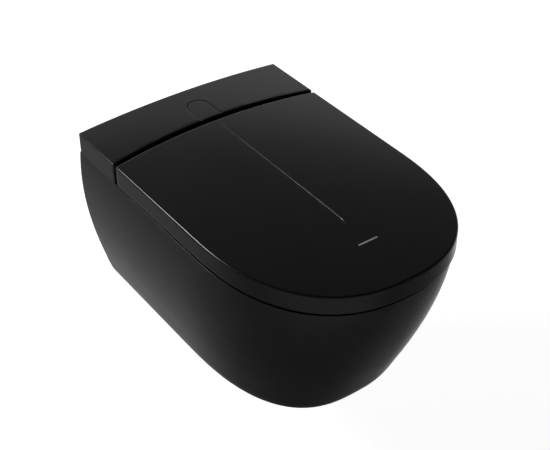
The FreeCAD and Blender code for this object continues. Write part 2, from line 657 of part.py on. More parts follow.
def lid_shell():
    outer = outline_prism(0.0, LID_REAR, (LID_SKIRT_Z[0] - 3, TOP_EDGE_Z + 20)).common(under_crown(0.0))
    outer = rounded_edges(outer, LID_EDGE_ROUND, lambda e: e.BoundBox.ZMin > TOP_EDGE_Z - 1)
    inner_rear = (LID_REAR[0] - LID_WALL, LID_REAR[1] - LID_WALL)
    inner = outline_prism(LID_WALL, inner_rear, (LID_SKIRT_Z[0] - 6, TOP_EDGE_Z + 20))
    lid = outer.cut(inner.common(under_crown(LID_WALL))).common(above_skirt())
    corner = box((-HALF_WIDTH - 5, HALF_WIDTH + 5), (PIVOT_Y, -90), (PIVOT_Z - 40, PIVOT_Z))
    corner = corner.cut(bar_x(BARREL_RADIUS, (-HALF_WIDTH - 6, HALF_WIDTH + 6), PIVOT_Y, PIVOT_Z))
    notches = []
    for side in (-1, 1):
        x_range = [side * x for x in (BLOCK_X[0] - SIDE_GAP - 1, BLOCK_X[1] + SIDE_GAP + 1)]
        notches.append(box(x_range, (LID_REAR[0] - 8, -95), (LID_SKIRT_Z[0] - 3, PIVOT_Z + 2)))
    groove = box((-GROOVE_WIDTH / 2, GROOVE_WIDTH / 2), (LID_REAR[1] + 2, GROOVE_FRONT_Y),
                 (TOP_EDGE_Z - 20, TOP_EDGE_Z + 20)).cut(under_crown(GROOVE_DEPTH))
    return lid.cut([corner, groove] + notches)


def lid_liner():
    inset = LID_WALL + 0.2
    panel = outline_prism(inset, (LINER_REAR_Y, LINER_REAR_Y), LINER_Z)
    rib_top = TOP_EDGE_Z + 20
    ribs = box((-3, 3), (LINER_REAR_Y - 5, -BODY_LENGTH + 60), (LINER_Z[1] - 1, rib_top))
    return joined(panel, ribs.common(under_crown(LID_WALL)))


def lid_badge():
    length, width, height = BADGE_SIZE
    end = length / 2 - width / 2
    low, high = TOP_EDGE_Z - 5, TOP_EDGE_Z + 30
    block = box((-end, end), (BADGE_Y - width / 2, BADGE_Y + width / 2), (low, high))
    ends = [rod(width / 2, (x, BADGE_Y, low), (x, BADGE_Y, high)) for x in (-end, end)]
    return block.fuse(ends).common(under_crown(-height)).cut(under_crown(0.0)).removeSplitter()


def lid_bumpers():
    return both_sides(Part.makeCompound([
        rod(LID_PAD_RADIUS, (x, y, SEAT_Z[1] + BUMPER_GAP), (x, y, LINER_Z[0])) for x, y in LID_PADS]))


def lid_hinge_arm():
    bar = box(ARM_X, (-185, PIVOT_Y), (PIVOT_Z, TOP_EDGE_Z + 20)).common(under_crown(LID_WALL))
    arm = joined(bar, bar_x(KNUCKLE_RADIUS, ARM_X, PIVOT_Y, PIVOT_Z))
    return arm.cut(bar_x(PIN_RADIUS, ARM_X, PIVOT_Y, PIVOT_Z))


# ================= seat =================

def seat_ring():
    ring = outline_prism(SEAT_INSET, (SEAT_REAR_Y, SEAT_REAR_Y), SEAT_Z)
    half, front_y, rear_y = SEAT_HOLE
    centre_y, reach = (front_y + rear_y) / 2, (rear_y - front_y) / 2
    points = []
    count = 36
    for i in range(count):
        angle = 2 * math.pi * i / count
        c, s = math.cos(angle), math.sin(angle)
        points.append(V(math.copysign(abs(c) ** (2 / SEAT_HOLE_POWER), c) * half,
                        centre_y + math.copysign(abs(s) ** (2 / SEAT_HOLE_POWER), s) * reach, SEAT_Z[0] - 1))
    curve = Part.BSplineCurve()
    curve.interpolate(Points=points, PeriodicFlag=True)
    hole = Part.Face(Part.Wire(curve.toShape())).extrude(V(0, 0, 40))
    ring = ring.cut(hole)
    ring = rounded_edges(ring, SEAT_ROUND, lambda e: e.BoundBox.ZMin > SEAT_Z[1] - 1 and e.Length > 400)
    pieces = []
    for side in (-1, 1):
        x_range = [side * x for x in (BLOCK_X[0] - 1.5, ARM_X[1] + SIDE_GAP)]
        notch_y = (SEAT_REAR_Y + 1, BLOCK_FOOT_Y[0] - 5)
        ring = ring.cut(box(x_range, notch_y, (SEAT_Z[0] - 1, SEAT_Z[1] + 1)))
        lug_x = [side * x for x in LUG_X]
        lug = box(lug_x, (SEAT_REAR_Y - 15, PIVOT_Y), (PIVOT_Z - KNUCKLE_RADIUS, SEAT_Z[1]))
        pieces.append(lug.fuse(bar_x(KNUCKLE_RADIUS, lug_x, PIVOT_Y, PIVOT_Z)))
    ring = ring.fuse(pieces).removeSplitter()
    return ring.cut([bar_x(PIN_RADIUS, [side * x for x in LUG_X], PIVOT_Y, PIVOT_Z) for side in (-1, 1)])


def seat_bumpers():
    return both_sides(Part.makeCompound([
        rod(SEAT_PAD_RADIUS, (x, y, RIM_Z + BUMPER_GAP), (x, y, SEAT_Z[0])) for x, y in SEAT_PADS]))


# ================= hinge hardware =================

def hinge_block():
    knuckle = bar_x(KNUCKLE_RADIUS, BLOCK_X, PIVOT_Y, PIVOT_Z)
    leg = prism_x([(PIVOT_Y - 1.5, PIVOT_Z - 4), (BLOCK_FOOT_Y[1], TRAY_TOP_Z),
                   (BLOCK_FOOT_Y[0] + 1, TRAY_TOP_Z), (PIVOT_Y - 7, PIVOT_Z)], BLOCK_X)
    return joined(knuckle, leg).cut([bar_x(DAMPER_RADIUS, BLOCK_X, PIVOT_Y, PIVOT_Z), hinge_screws()])


def damper(x_range, mouth_x, bore_end_x):
    body = bar_x(DAMPER_RADIUS - RUNNING_GAP, x_range, PIVOT_Y, PIVOT_Z)
    return body.cut(bar_x(PIN_RADIUS + RUNNING_GAP, (mouth_x, bore_end_x), PIVOT_Y, PIVOT_Z))


def lid_dampers():
    middle = sum(BLOCK_X) / 2
    return both_sides(damper((middle + 0.3, BLOCK_X[1]), BLOCK_X[1], middle + DAMPER_WALL))


def seat_dampers():
    middle = sum(BLOCK_X) / 2
    return both_sides(damper((BLOCK_X[0], middle - 0.3), BLOCK_X[0], middle - DAMPER_WALL))


def lid_pins():
    return both_sides(bar_x(PIN_RADIUS, (sum(BLOCK_X) / 2 + DAMPER_WALL + 1, ARM_X[1]), PIVOT_Y, PIVOT_Z))


def seat_pins():
    return both_sides(bar_x(PIN_RADIUS, (LUG_X[0], sum(BLOCK_X) / 2 - DAMPER_WALL - 1), PIVOT_Y, PIVOT_Z))


def hinge_screws():
    """Countersunk screws from under the tray plate up into the blocks."""
    y = HINGE_SCREW_Y
    shank_radius, head_radius = HINGE_SCREW_RADIUS
    plate_z = TRAY_TOP_Z - TRAY_PLATE
    screws = []
    for x in shrink(BLOCK_X, 8):
        head = rod(head_radius, (x, y, plate_z), (x, y, plate_z + 1.2))
        screws.append(head.fuse(rod(shank_radius, (x, y, plate_z), (x, y, TRAY_TOP_Z + 8.5))))
    return both_sides(Part.makeCompound(screws))


# ================= spray arm =================

def tilted(shape):
    """Put a piece built along -Y from the origin onto the spray arm's sloping line."""
    placed = shape.copy()
    placed.rotate(V(0, 0, 0), V(1, 0, 0), SPRAY_TILT)
    placed.translate(V(*SPRAY_REAR))
    return placed


def beam(size, gap, y_range):
    """Rectangular bar centred on the arm's line, wider all round by a gap."""
    half_x, half_z = size[0] / 2 + gap, size[1] / 2 + gap
    return box((-half_x, half_x), y_range, (-half_z, half_z))


def arm_passage(gap, reach):
    """Space that the arm and its rack sweep in front of the guide."""
    half_x, half_z = STAGE_SIZE[0] / 2 + gap, STAGE_SIZE[1] / 2 + gap
    along = (-GUIDE_LENGTH, -GUIDE_LENGTH - reach)
    return tilted(box((-half_x, half_x), along, (-half_z - RACK_HEIGHT, half_z)))


def arm_guide():
    outer = tilted(beam(STAGE_SIZE, SLIDE_GAP + GUIDE_WALL, (0, -GUIDE_LENGTH)))
    foot = box((-13, 13), (-40, -52), (TRAY_TOP_Z, SPRAY_REAR[2] - 8))
    front_foot = box((-13, 13), (-118, -126), (POCKET_TRAY_FLOOR_Z, 64))
    body = outer.fuse([foot, front_foot])
    channel = tilted(beam(STAGE_SIZE, SLIDE_GAP, (-3, -GUIDE_LENGTH - 5)))
    slot = tilted(box((-4.5, 4.5), (-3, -GUIDE_LENGTH - 5), (-40, 0)))
    port = rod(PORT_RADIUS, (14, HOSE_END[1], HOSE_END[2]), HOSE_END)
    return body.cut([channel, slot]).fuse(port).removeSplitter()


def spray_arm():
    stage = beam(STAGE_SIZE, 0.0, (-6, -GUIDE_LENGTH + 4))
    return tilted(stage.cut(beam(NOZZLE_SIZE, SLIDE_GAP, (-9, -GUIDE_LENGTH))))


def arm_rack():
    """Toothed rack glued under the outer stage, with a gap of one tooth space over the pinion."""
    pitch = math.pi * GEAR_MODULE
    root_z = RACK_TOP_Z - RACK_HEIGHT + 2.25 * GEAR_MODULE
    tip_z = RACK_TOP_Z - RACK_HEIGHT
    rear_y, front_y = -8.0, -GUIDE_LENGTH + 6
    bar = box((-RACK_WIDTH / 2, RACK_WIDTH / 2), (rear_y, front_y), (root_z, RACK_TOP_Z))
    teeth = []
    first = math.ceil((front_y - PINION_ALONG) / pitch)
    last = math.floor((rear_y - PINION_ALONG) / pitch)
    for k in range(first, last):
        centre = PINION_ALONG + (k + 0.5) * pitch
        tooth = prism_x([(centre - 1.15, root_z), (centre - 0.35, tip_z), (centre + 0.35, tip_z),
                         (centre + 1.15, root_z)], (-RACK_WIDTH / 2, RACK_WIDTH / 2))
        teeth.append(tooth)
    return tilted(bar.fuse(teeth).removeSplitter())


def drive_pinion():
    """Toothed wheel under the rack, one tooth pointing straight up into a rack gap."""
    root, tip = PITCH_RADIUS - 1.25 * GEAR_MODULE, PITCH_RADIUS + 0.9 * GEAR_MODULE
    wheel = bar_x(root, (-PINION_WIDTH / 2, PINION_WIDTH / 2), 0, 0)
    teeth = []
    for k in range(PINION_TEETH):
        tooth = prism_x([(-1.1, root - 0.4), (-0.68, PITCH_RADIUS), (-0.3, tip), (0.3, tip),
                         (0.68, PITCH_RADIUS), (1.1, root - 0.4)], (-PINION_WIDTH / 2, PINION_WIDTH / 2))
        tooth.rotate(V(0, 0, 0), V(1, 0, 0), 360.0 * k / PINION_TEETH)
        teeth.append(tooth)
    wheel = wheel.fuse(teeth + [bar_x(SHAFT_RADIUS, (-5, 29), 0, 0)]).removeSplitter()
    wheel.translate(V(0, PINION_ALONG, PINION_Z))
    return tilted(wheel)


def arm_motor():
    case = bar_x(MOTOR_RADIUS, MOTOR_X, PINION_ALONG, PINION_Z)
    bore = bar_x(SHAFT_RADIUS + RUNNING_GAP, (MOTOR_X[0], MOTOR_X[0] + 15.5), PINION_ALONG, PINION_Z)
    return tilted(case.cut(bore))


def nozzle_tube():
    body = beam(NOZZLE_SIZE, 0.0, (-10, -GUIDE_LENGTH + 4))
    return tilted(body.cut(rod(2.0, (0, -10, 0), (0, -GUIDE_LENGTH + 10, 0))))


def nozzle_tip():
    """Spray head on the inner tube's end, with its outlet holes."""
    head = box((-10.5, 10.5), (-GUIDE_LENGTH + 4, -GUIDE_LENGTH - 4), (-6.5, 6.5))
    inner_end = -GUIDE_LENGTH + 3
    head = rounded_edges(head, 2.0, lambda e: e.BoundBox.YMax < inner_end or e.BoundBox.YLength > 5)
    holes = [rod(OUTLET_RADIUS, (x, -GUIDE_LENGTH, 0), (x, -GUIDE_LENGTH, 8)) for x in OUTLET_X]
    return tilted(head.cut(holes))


# ================= water and power units =================

def rounded_box(x_range, y_range, z_range, radius):
    block = box(x_range, y_range, z_range)
    return block.makeFillet(radius, block.Edges)


def water_heater():
    case = rounded_box(HEATER_X, HEATER_Y, HEATER_Z, 4.0)
    base = box(shrink(HEATER_X, 6), shrink(HEATER_Y, 6), (TRAY_FLOOR_Z, HEATER_Z[0] + 1))
    ports = [rod(PORT_RADIUS, (HOSE_X, y, HEATER_Z[1] - 1), (HOSE_X, y, HEATER_Z[1] + 4)) for y in PORT_Y]
    return joined(case, base, *ports)


def water_pump():
    body = rod(PUMP_RADIUS, (PUMP_X, PUMP_Y[0], PUMP_Z), (PUMP_X, PUMP_Y[1], PUMP_Z))
    foot = box((PUMP_X - 12, PUMP_X + 12), shrink(PUMP_Y, 8), (TRAY_FLOOR_Z, PUMP_Z))
    port_top = PUMP_Z + PUMP_RADIUS + 4
    ports = [rod(PORT_RADIUS, (PUMP_X, y, PUMP_Z), (PUMP_X, y, port_top)) for y in (PORT_Y[1], SPRAY_PORT_Y)]
    return joined(body, foot, *ports)


def inlet_valve():
    body = rounded_box((SERVICE_X - 14, SERVICE_X + 14), VALVE_Y, (TRAY_FLOOR_Z, SERVICE_Z + 14), 3.0)
    collar = rod(11.0, (SERVICE_X, -26, SERVICE_Z), (SERVICE_X, -16, SERVICE_Z))
    stub = rod(STUB_RADIUS, (SERVICE_X, -17, SERVICE_Z), (SERVICE_X, -3, SERVICE_Z))
    port = rod(PORT_RADIUS, (SERVICE_X, -36, SERVICE_Z + 12), (SERVICE_X, -36, SERVICE_Z + 18))
    bore = rod(4.5, (SERVICE_X, -40, SERVICE_Z), (SERVICE_X, -2, SERVICE_Z))
    return joined(body, collar, stub, port).cut(bore)


def inlet_hose():
    top = HEATER_Z[1] + 4
    path = [(SERVICE_X, -36, SERVICE_Z + 18), (SERVICE_X, -36, 106),
            (HOSE_X, PORT_Y[0], 106), (HOSE_X, PORT_Y[0], top)]
    return pipe(path, HOSE_RADIUS, 13.0)


def heater_hose():
    y = PORT_Y[1]
    heater_port, pump_port = HEATER_Z[1] + 4, PUMP_Z + PUMP_RADIUS + 4
    path = [(HOSE_X, y, heater_port), (HOSE_X, y, 104), (PUMP_X, y, 104), (PUMP_X, y, pump_port)]
    return pipe(path, HOSE_RADIUS, 12.0)


def spray_hose():
    y, end_z = SPRAY_PORT_Y, HOSE_END[2]
    path = [(PUMP_X, y, PUMP_Z + PUMP_RADIUS + 4), (PUMP_X, y, end_z), (60, HOSE_END[1], end_z), HOSE_END]
    return pipe(path, HOSE_RADIUS, 16.0)


def control_board():
    board = box(BOARD_X, BOARD_Y, (BOARD_Z, BOARD_Z + BOARD_THICKNESS))
    return board.cut([rod(1.6, (x, y, BOARD_Z - 1), (x, y, BOARD_Z + 3)) for x, y in board_corners()])


def board_screws():
    top = BOARD_Z + BOARD_THICKNESS
    return Part.makeCompound([rod(3.0, (x, y, top), (x, y, top + 1.8)) for x, y in board_corners()])


def board_chips():
    top = BOARD_Z + BOARD_THICKNESS
    return Part.makeCompound([box((x - w / 2, x + w / 2), (y - d / 2, y + d / 2), (top, top + h))
                              for x, y, w, d, h in BOARD_PARTS])


def power_supply():
    case = rounded_box(SUPPLY_X, SUPPLY_Y, (TRAY_FLOOR_Z, SUPPLY_TOP_Z), 3.0)
    vent_x, vent_z = shrink(SUPPLY_X, 12), (SUPPLY_TOP_Z - 3, SUPPLY_TOP_Z + 1)
    fronts = [SUPPLY_Y[0] + 17 + VENT_PITCH * k for k in range(VENT_COUNT)]
    vents = [box(vent_x, (y, y + VENT_PITCH / 3), vent_z) for y in fronts]
    return case.cut(vents)


def mains_gland():
    x = -SERVICE_X
    body = rod(11.0, (x, -30, SERVICE_Z), (x, -16, SERVICE_Z))
    thread = rod(9.0, (x, -17, SERVICE_Z), (x, -5, SERVICE_Z))
    nut = rod(14.5, (x, -30, SERVICE_Z), (x, -22, SERVICE_Z))
    return joined(body, thread, nut).cut(rod(GLAND_BORE_RADIUS, (x, -31, SERVICE_Z), (x, -4, SERVICE_Z)))


# ================= write every piece =================

def save(name, shape):
    """Check one piece and write it."""
    solids = shape.Solids
    valid = all(solid.isValid() and solid.Volume > 0 for solid in solids)
    print(f"{name:22s} solids {len(solids)} valid {valid} cm3 {shape.Volume / 1000:.2f}")
    piece = solids[0] if len(solids) == 1 else Part.makeCompound(solids)
    piece.exportStep(f"parts/{name}.step")


os.makedirs("parts", exist_ok=True)
whole_cover = cover_shell()
right_arm = lid_hinge_arm()
right_block = hinge_block()

PIECES = {
    "ceramic_pan": ceramic_pan(),
    "flush_collar": flush_collar(),
    "fixing_sleeves": fixing_sleeves(),
    "tray_seal": tray_seal(),
    "base_tray": base_tray(),
    "tray_screws": tray_screws(),
    "rear_cover": rear_cover(whole_cover),
    "cover_clips": cover_clips(),
    "push_button": push_button(whole_cover),
    "button_spring": button_spring(),
    "button_switch": button_switch(),
    "lid_shell": lid_shell(),
    "lid_liner": lid_liner(),
    "lid_badge": lid_badge(),
    "lid_bumpers": lid_bumpers(),
    "lid_hinge_arm_right": right_arm,
    "lid_hinge_arm_left": mirrored(right_arm),
    "lid_pins": lid_pins(),
    "lid_dampers": lid_dampers(),
    "seat_ring": seat_ring(),
    "seat_bumpers": seat_bumpers(),
    "seat_pins": seat_pins(),
    "seat_dampers": seat_dampers(),
    "hinge_block_right": right_block,
    "hinge_block_left": mirrored(right_block),
    "hinge_screws": hinge_screws(),
    "arm_guide": arm_guide(),
    "spray_arm": spray_arm(),
    "arm_rack": arm_rack(),
    "nozzle_tube": nozzle_tube(),
    "nozzle_tip": nozzle_tip(),
    "drive_pinion": drive_pinion(),
    "arm_motor": arm_motor(),
    "water_heater": water_heater(),
    "water_pump": water_pump(),
    "inlet_valve": inlet_valve(),
    "inlet_hose": inlet_hose(),
    "heater_hose": heater_hose(),
    "spray_hose": spray_hose(),
    "control_board": control_board(),
    "board_screws": board_screws(),
    "board_chips": board_chips(),
    "power_supply": power_supply(),
    "mains_gland": mains_gland(),
}

for piece_name, piece_shape in PIECES.items():
    save(piece_name, piece_shape)
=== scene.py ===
import json
import math

import bmesh
import bpy
import numpy as np
from mathutils import Matrix, Vector
from mathutils.geometry import delaunay_2d_cdt

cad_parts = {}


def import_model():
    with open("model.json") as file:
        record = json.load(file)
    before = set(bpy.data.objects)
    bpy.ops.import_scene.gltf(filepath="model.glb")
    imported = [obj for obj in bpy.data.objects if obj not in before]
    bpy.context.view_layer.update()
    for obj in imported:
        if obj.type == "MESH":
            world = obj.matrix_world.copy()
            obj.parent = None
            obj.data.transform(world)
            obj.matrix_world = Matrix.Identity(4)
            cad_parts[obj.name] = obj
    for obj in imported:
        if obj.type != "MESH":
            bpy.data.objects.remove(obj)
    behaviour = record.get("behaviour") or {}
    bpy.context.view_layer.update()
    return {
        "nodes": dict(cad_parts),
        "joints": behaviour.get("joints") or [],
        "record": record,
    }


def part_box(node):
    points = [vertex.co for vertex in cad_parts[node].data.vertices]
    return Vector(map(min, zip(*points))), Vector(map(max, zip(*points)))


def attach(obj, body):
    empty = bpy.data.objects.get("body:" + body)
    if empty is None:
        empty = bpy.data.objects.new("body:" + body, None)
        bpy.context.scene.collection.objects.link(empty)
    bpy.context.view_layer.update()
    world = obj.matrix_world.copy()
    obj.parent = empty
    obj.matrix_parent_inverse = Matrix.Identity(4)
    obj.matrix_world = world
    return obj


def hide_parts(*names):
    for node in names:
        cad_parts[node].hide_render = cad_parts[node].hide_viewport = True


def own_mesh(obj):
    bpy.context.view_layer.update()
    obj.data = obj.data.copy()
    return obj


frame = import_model()

# Wall-hung shower toilet, in metres: +X right seen from the front, front towards -Y, +Z up, wall at y = 0.

# ---------------------------------------------------------------- sizes from the frame
LID_LOW, LID_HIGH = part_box("lid_shell")
COVER_LOW, COVER_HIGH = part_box("rear_cover")
BUTTON_LOW, BUTTON_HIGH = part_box("push_button")
SPRING_LOW, SPRING_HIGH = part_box("button_spring")
JOINTS = {joint["name"]: joint for joint in frame["joints"]}
HINGE = Vector(JOINTS["lid_hinge"]["pos_m"])
BUTTON_TRAVEL = JOINTS["button_press"]["range_m"][1]

HALF_WIDTH = LID_HIGH.x
LENGTH = -LID_LOW.y
COVER_REAR = COVER_HIGH.y
COVER_BOTTOM = COVER_LOW.z
BUTTON_RADIUS = BUTTON_HIGH.x
BUTTON_CENTRE = BUTTON_HIGH.y - BUTTON_RADIUS

# ---------------------------------------------------------------- sizes of the shells
STRAIGHT = 0.343                    # wall to the end of the straight sides
POWER = 2.385                       # superellipse power of the rounded front
EDGE_Z = 0.1165                     # height of the crowned top at its edge
CROWN = LID_HIGH.z - EDGE_Z

LID_WALL = 0.004
LID_ROUND = 0.0036                  # rolled edge between the top and the skirt
LID_REAR = (-0.1195, -0.1090)       # rear edge at the corners and on the centre line
LID_SKIRT = (0.0818, 0.0864)        # lower edge at the rear and at the front
LID_CORNER = 0.0035
ARCH_FADE = 0.16                    # length over which the rows across the lid straighten out
BARREL = 0.0243                     # radius of the lid's rear round the hinge
NOTCH_X = (0.081, 0.127)            # hinge notches in the barrel, from and to
NOTCH_TOP = HINGE.z + 0.002
NOTCH_STEP = 0.0001                 # half the width of a notch's upright side in the mesh
NOTCH_CLEAR = 0.002                 # other columns keep this far from a notch's side
BAND = 0.003                        # half the band whose columns keep their places beside the groove
BAND_COLUMN = 0.0025                # last column in the band
FAR_COLUMN = 0.0075                 # first column outside it
SHORT_ROW = 0.010                   # half length of the rows near the tip whose band closes up
LIP = 0.0010                        # rounding of the skirt's lower edge

GROOVE_END = -0.443                 # its front end, on the centre line
GROOVE_FADE = 0.0012
GROOVE_HALF = 0.0008
GROOVE_FLAT = 0.55 * GROOVE_HALF    # half width of its floor
GROOVE_SLOPE = 0.7 * GROOVE_HALF
GROOVE_DEPTH = 0.0008

COVER_FRONT = (-0.1135, -0.0995)    # front edge at the corners and on the centre line
FRONT_FADE = 0.03                   # how far behind the front edge its arch fades out
COVER_ROUND = 0.0022
COVER_CORNER = 0.0022
COVER_WALL = 0.003
ARM_NOTCH_TOP = 0.090

BUTTON_GAP = 0.0008
SLOT_RADIUS = BUTTON_RADIUS + BUTTON_GAP
SLOT_ROUND = 0.0002
SLOT_CORNER = 0.0008
SLOT_LAP = 0.0005                   # how far the low wall reaches past each side of the slot
BUTTON_ROUND = 0.0007
BUTTON_FRONT_ROUND = 0.0016
BUTTON_CORNER = 0.0006
BUTTON_FRONT = 0.0012               # depth of the button's lip behind its front edge
BUTTON_CLEAR = 0.0003               # left under the pressed button

STEM_Y = -0.075
# Radius and height of each corner of the stem, from its foot up.
STEM_PROFILE = [(0, 0.108), (0.004, 0.108), (0.004, 0.119), (0.009, 0.119), (0.009, 0.1228), (0, 0.1228)]
SPRING_TURNS = 5
SPRING_WIRE = 0.0005
SPRING_Y = (SPRING_LOW.y + SPRING_HIGH.y) / 2

# ---------------------------------------------------------------- fineness of the grids
SIDE_STEPS = 26
FRONT_STEPS = 56
CORNER_STEPS = 6
ACROSS_STEPS = 30
FLAT_STEPS = 9
ARC_STEPS = 28
ROUND_STEPS = 32
TURN_STEPS = 30
WIRE_SIDES = 12
COVER_SPACING = 0.006
COVER_STEP = 0.004
BUTTON_SPACING = 0.004
BUTTON_STEP = 0.003
ROLL_STEPS = 9
SKIRT_STEPS = 8
LIP_STEPS = 4
INNER_STEPS = 5
EDGE_STEPS = 8
WALL_STEPS = 7
TRIANGLES_INSIDE = 1                # the fill keeps triangles inside the loop only
FILL_EPSILON = 1e-7
MERGE = 1e-5
SPRING_MERGE = 1e-6
SHARP_ANGLE = math.radians(40.0)


# ---------------------------------------------------------------- meshes from grids
class Shape:
    """A mesh gathered from grids and fills, whose shared edges are merged at the end."""

    def __init__(self):
        self.points = []
        self.faces = []
        self.count = 0

    def grid(self, points, flip=False, loop=False):
        """Adds a grid of points (rows, columns, 3); loop joins the last column to the first."""
        points = np.asarray(points, float)
        rows, columns = points.shape[:2]
        index = np.arange(rows * columns).reshape(rows, columns) + self.count
        if loop:
            index = np.concatenate([index, index[:, :1]], axis=1)
        corners = [index[:-1, :-1], index[:-1, 1:], index[1:, 1:], index[1:, :-1]]
        quads = np.stack(corners, axis=-1).reshape(-1, 4)
        if flip:
            quads = quads[:, ::-1]
        self.points.append(points.reshape(-1, 3))
        self.faces.extend(quads.tolist())
        self.count += rows * columns

    def fill(self, loop, height, flip=False, within=()):
        """Adds triangles inside a closed loop, through inner plan points, lifted to their heights."""
        flat = [Vector(spot) for spot in (*loop, *within)]
        edges = [(i, (i + 1) % len(loop)) for i in range(len(loop))]
        points, _, faces, *_ = delaunay_2d_cdt(flat, edges, [], TRIANGLES_INSIDE, FILL_EPSILON)
        xy = np.array([tuple(point) for point in points], float)
        for face in faces:
            order = face[::-1] if flip else face
            self.faces.append([i + self.count for i in order])
        self.points.append(lifted(xy, height(xy)))
        self.count += len(xy)

    def build(self, name, merge=MERGE):
        """Makes the object with its doubled points merged, smooth but for edges above the sharp angle."""
        mesh = bpy.data.meshes.new(name)
        mesh.from_pydata(np.concatenate(self.points).tolist(), [], self.faces)
        tidy = bmesh.new()
        tidy.from_mesh(mesh)
        bmesh.ops.remove_doubles(tidy, verts=tidy.verts, dist=merge)
        bmesh.ops.dissolve_degenerate(tidy, edges=tidy.edges, dist=merge / 10)
        for face in tidy.faces:
            face.smooth = True
        for edge in tidy.edges:
            if len(edge.link_faces) == 2 and edge.calc_face_angle(0.0) > SHARP_ANGLE:
                edge.smooth = False
        tidy.to_mesh(mesh)
        tidy.free()
        piece = bpy.data.objects.new(name, mesh)
        bpy.context.scene.collection.objects.link(piece)
        return piece


def inside(point, loop):
    """Whether a point lies inside a closed loop: an odd number of crossings to its right."""
    x, y = loop[:, 0], loop[:, 1]
    x2, y2 = np.roll(x, -1), np.roll(y, -1)
    crossing = (y > point[1]) != (y2 > point[1])
    with np.errstate(divide="ignore", invalid="ignore"):
        at = x + (point[1] - y) * (x2 - x) / (y2 - y)
    return bool(np.sum(crossing & (at > point[0])) % 2)


def lifted(xy, z):
    """Plan points with heights, as an array of 3-D points."""
    return np.concatenate([xy, np.broadcast_to(np.asarray(z, float), xy.shape[:-1])[..., None]], axis=-1)


def inward(loop):
    """Unit normals of a clockwise closed loop: the run past each point, turned to its inside."""
    along = np.roll(loop, -1, axis=0) - np.roll(loop, 1, axis=0)
    along /= np.linalg.norm(along, axis=1, keepdims=True)
    return np.stack([along[:, 1], -along[:, 0]], axis=1)


def superellipse(angle, half, reach):
    """Quarter outline: half times cos^(2/power) across and reach times sin^(2/power) along."""
    across = half * np.maximum(np.cos(angle), 0.0) ** (2 / POWER)
    along = reach * np.sin(angle) ** (2 / POWER)
    return across, along


def eased(t):
    """Smooth step from 0 to 1."""
    t = np.clip(t, 0.0, 1.0)
    return t * t * (3 - 2 * t)


def crown(xy):
    """Height of the top: its edge, plus the crown times one less the squared superellipse distance."""
    across = np.abs(xy[..., 0]) / HALF_WIDTH
    along = np.maximum(0.0, -xy[..., 1] - STRAIGHT) / (LENGTH - STRAIGHT)
    reach = (across ** POWER + along ** POWER) ** (2 / POWER)
    return EDGE_Z + CROWN * (1 - reach)


def arch(x, ends):
    """An arched edge: the centre-line y less a parabola that reaches the corner y at the half width."""
    corner, middle = ends
    return middle + (corner - middle) * (x / HALF_WIDTH) ** 2


def rolled_edge(ring, top, radius, steps):
    """Rows of a quarter round from the top to the side: in by r(1 - cos a), down by r(1 - sin a)."""
    angles = np.linspace(math.pi / 2, 0, steps)
    return [lifted(ring(radius * (1 - math.cos(a))), top - radius * (1 - math.sin(a))) for a in angles]


def upright(loop, start, end, steps):
    """Rows of an upright wall over a loop, from one height to another, without the row at the start."""
    return [lifted(loop, start + (end - start) * share) for share in np.linspace(0, 1, steps)[1:]]


# ---------------------------------------------------------------- lid
def lid_edge():
    """Right half of the lid's outline: rounded rear corner, straight side, superellipse front."""
    rear = arch(HALF_WIDTH - LID_CORNER, LID_REAR)
    turn = np.linspace(0, math.pi / 2, CORNER_STEPS + 1)[1:]
    corner_x = HALF_WIDTH - LID_CORNER * (1 - np.sin(turn))
    corner_y = rear - LID_CORNER * (1 - np.cos(turn))
    corner = np.stack([corner_x, corner_y], axis=1)
    side_y = np.linspace(corner_y[-1], -STRAIGHT, SIDE_STEPS + 1)[1:]
    side = np.stack([np.full(SIDE_STEPS, HALF_WIDTH), side_y], axis=1)
    quarter = np.linspace(0, math.pi / 2, FRONT_STEPS + 1)[1:]
    across, along = superellipse(quarter, HALF_WIDTH, LENGTH - STRAIGHT)
    front = np.stack([across, -STRAIGHT - along], axis=1)
    front[-1, 0] = 0.0
    return np.concatenate([corner, side, front])


def lid_columns():
    """Places across the lid from the centre line out: close beside the groove and at the notches."""
    near = np.array([0.0, GROOVE_FLAT, GROOVE_HALF * 0.8, GROOVE_HALF, GROOVE_HALF * 1.25, BAND_COLUMN])
    far = np.linspace(FAR_COLUMN, HALF_WIDTH - LID_CORNER, ACROSS_STEPS)
    notches = np.array(NOTCH_X)
    clear = np.min(np.abs(far[:, None] - notches), axis=1) > NOTCH_CLEAR
    far = np.sort(np.concatenate([far[clear], notches - NOTCH_STEP, notches + NOTCH_STEP]))
    right = np.concatenate([near, far])
    return np.concatenate([-right[:0:-1], right])


def lid_patch(boundary, columns, height):
    """Rows across the lid between matching points of its two sides, arched near the rear, with heights.

    The columns in a narrow band beside the centre line keep their places, so that the groove keeps its
    width. The others share out the rest of the row. Both close up where the row is very short, at the tip.
    """
    rear, right = boundary
    rows = [lifted(rear, height(rear))]
    half_rear = rear[-1, 0]
    bulge = rear[len(rear) // 2, 1] - rear[-1, 1]
    outside = (np.abs(columns) - BAND) / (half_rear - BAND)
    for x_edge, y_edge in right:
        near = np.minimum(1.0, x_edge / SHORT_ROW)
        spread = BAND * near + outside * np.maximum(x_edge - BAND * near, 0)
        x = np.where(np.abs(columns) < BAND, columns * near, np.sign(columns) * spread)
        fade = 1 - eased((rear[-1, 1] - y_edge) / ARCH_FADE)
        y = y_edge + bulge * fade * (1 - (columns / half_rear) ** 2)
        row = np.stack([x, y], axis=1)
        row[0], row[-1] = (-x_edge, y_edge), (x_edge, y_edge)
        rows.append(lifted(row, height(row)))
    return np.array(rows)


